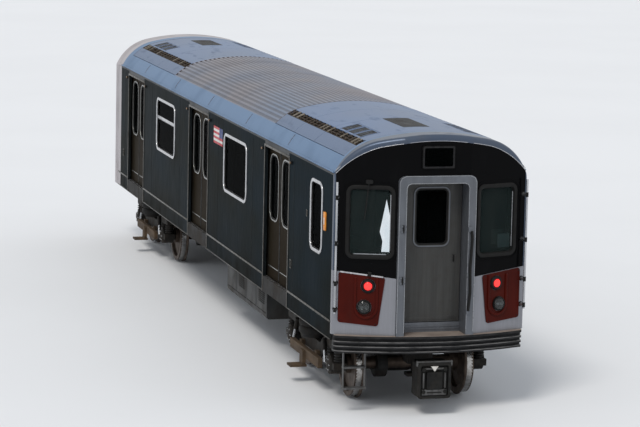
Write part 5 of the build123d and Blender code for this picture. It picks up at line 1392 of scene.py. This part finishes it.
class METRO_OT_stage(bpy.types.Operator):
    """Camera, floor, sky and sun"""

    bl_idname = "metro.stage"
    bl_label = "Stage"

    def execute(self, context):
        look = context.scene.metro_stage
        self.set_camera(context, look)
        self.lay_floor(context, look)
        self.light_sky(context, look)
        lamp = bpy.data.lights.new("sun", "SUN")
        lamp.energy = look.sun_strength
        lamp.angle = math.radians(20)
        lamp.color = (1.0, 0.96, 0.9)
        sun = bpy.data.objects.new("sun", lamp)
        sun.rotation_euler = (math.radians(38), 0, math.radians(-38))
        context.scene.collection.objects.link(sun)
        context.scene.view_settings.view_transform = "Standard"
        return {"FINISHED"}

    def set_camera(self, context, look):
        """Stands the camera where the photograph was taken."""
        camera = bpy.data.objects.new("camera", bpy.data.cameras.new("camera"))
        context.scene.collection.objects.link(camera)
        ahead = Vector((math.sin(CAMERA_YAW) * math.cos(CAMERA_PITCH),
                        math.cos(CAMERA_YAW) * math.cos(CAMERA_PITCH),
                        -math.sin(CAMERA_PITCH)))
        right = Vector((math.cos(CAMERA_YAW), -math.sin(CAMERA_YAW), 0))
        level = Matrix((right, right.cross(ahead), -ahead)).transposed().to_4x4()
        camera.matrix_world = (Matrix.Translation(CAMERA_AT) @ level
                               @ Matrix.Rotation(CAMERA_ROLL, 4, "Z"))
        camera.data.lens = look.lens
        camera.data.shift_x, camera.data.shift_y = CAMERA_SHIFT
        camera.data.clip_end = 500
        context.scene.camera = camera

    def lay_floor(self, context, look):
        """Lays a wide pale floor."""
        bm = bmesh.new()
        bmesh.ops.create_grid(bm, x_segments=1, y_segments=1, size=260)
        mesh = bpy.data.meshes.new("floor")
        bm.to_mesh(mesh)
        bm.free()
        floor = bpy.data.objects.new("floor", mesh)
        context.scene.collection.objects.link(floor)
        f = Finish("floor_paint", roughness=0.9)
        f.coat(f.mix(f.noise(0.2), tuple(look.floor_colour),
                     tuple(c * 0.98 for c in look.floor_colour)))
        mesh.materials.append(f.material)

    def light_sky(self, context, look):
        """Lights the car evenly, with a pale backdrop for what is seen or mirrored."""
        world = bpy.data.worlds.new("sky")
        context.scene.world = world
        world.use_nodes = True
        nodes, links = world.node_tree.nodes, world.node_tree.links
        even = nodes["Background"]
        even.inputs["Color"].default_value = (0.84, 0.88, 0.93, 1)
        even.inputs["Strength"].default_value = look.sky_strength
        seen = nodes.new("ShaderNodeBackground")
        seen.inputs["Color"].default_value = (0.86, 0.88, 0.9, 1)
        seen.inputs["Strength"].default_value = 1.0
        light_path = nodes.new("ShaderNodeLightPath")
        shown = light_path.outputs["Is Camera Ray"]
        for ray in ("Is Glossy Ray", "Is Transmission Ray"):
            either = nodes.new("ShaderNodeMath")
            either.operation = "MAXIMUM"
            links.new(shown, either.inputs[0])
            links.new(light_path.outputs[ray], either.inputs[1])
            shown = either.outputs[0]
        choose = nodes.new("ShaderNodeMixShader")
        for socket, source in enumerate((shown, even.outputs[0], seen.outputs[0])):
            links.new(source, choose.inputs[socket])
        links.new(choose.outputs[0], nodes["World Output"].inputs["Surface"])


OPERATORS = (
    METRO_OT_paint_nodes, METRO_OT_side_windows, METRO_OT_leaf_glazing, METRO_OT_doorways,
    METRO_OT_side_trim, METRO_OT_front_glazing, METRO_OT_end_doors, METRO_OT_end_lamps,
    METRO_OT_roof_details, METRO_OT_bogie_details, METRO_OT_underfloor, METRO_OT_interior,
    METRO_OT_coupler_details, METRO_OT_grab_clamps, METRO_OT_wheel_treads, METRO_OT_stage,
)
GROUPS = (
    ("metro_colours", FinishColours), ("metro_trim", TrimSizes), ("metro_stage", StageLook),
)


class METRO_PT_fittings(bpy.types.Panel):
    """Sidebar panel that lists the car's fittings"""

    bl_label = "Metro End Car"
    bl_idname = "METRO_PT_fittings"
    bl_space_type = "VIEW_3D"
    bl_region_type = "UI"
    bl_category = "Metro Car"

    def draw(self, context):
        layout = self.layout
        for name, group in GROUPS:
            box = layout.box()
            for key in group.__annotations__:
                box.prop(getattr(context.scene, name), key)
        for operator in OPERATORS:
            layout.operator(operator.bl_idname)


def register():
    for name, group in GROUPS:
        bpy.utils.register_class(group)
        setattr(bpy.types.Scene, name, PointerProperty(type=group))
    for operator in OPERATORS:
        bpy.utils.register_class(operator)
    bpy.utils.register_class(METRO_PT_fittings)


def unregister():
    bpy.utils.unregister_class(METRO_PT_fittings)
    for operator in reversed(OPERATORS):
        bpy.utils.unregister_class(operator)
    for name, group in reversed(GROUPS):
        delattr(bpy.types.Scene, name)
        bpy.utils.unregister_class(group)


def main():
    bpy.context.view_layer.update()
    register()
    for operator in OPERATORS:
        category, name = operator.bl_idname.split(".")
        getattr(getattr(bpy.ops, category), name)()


if __name__ == "__main__":
    main()
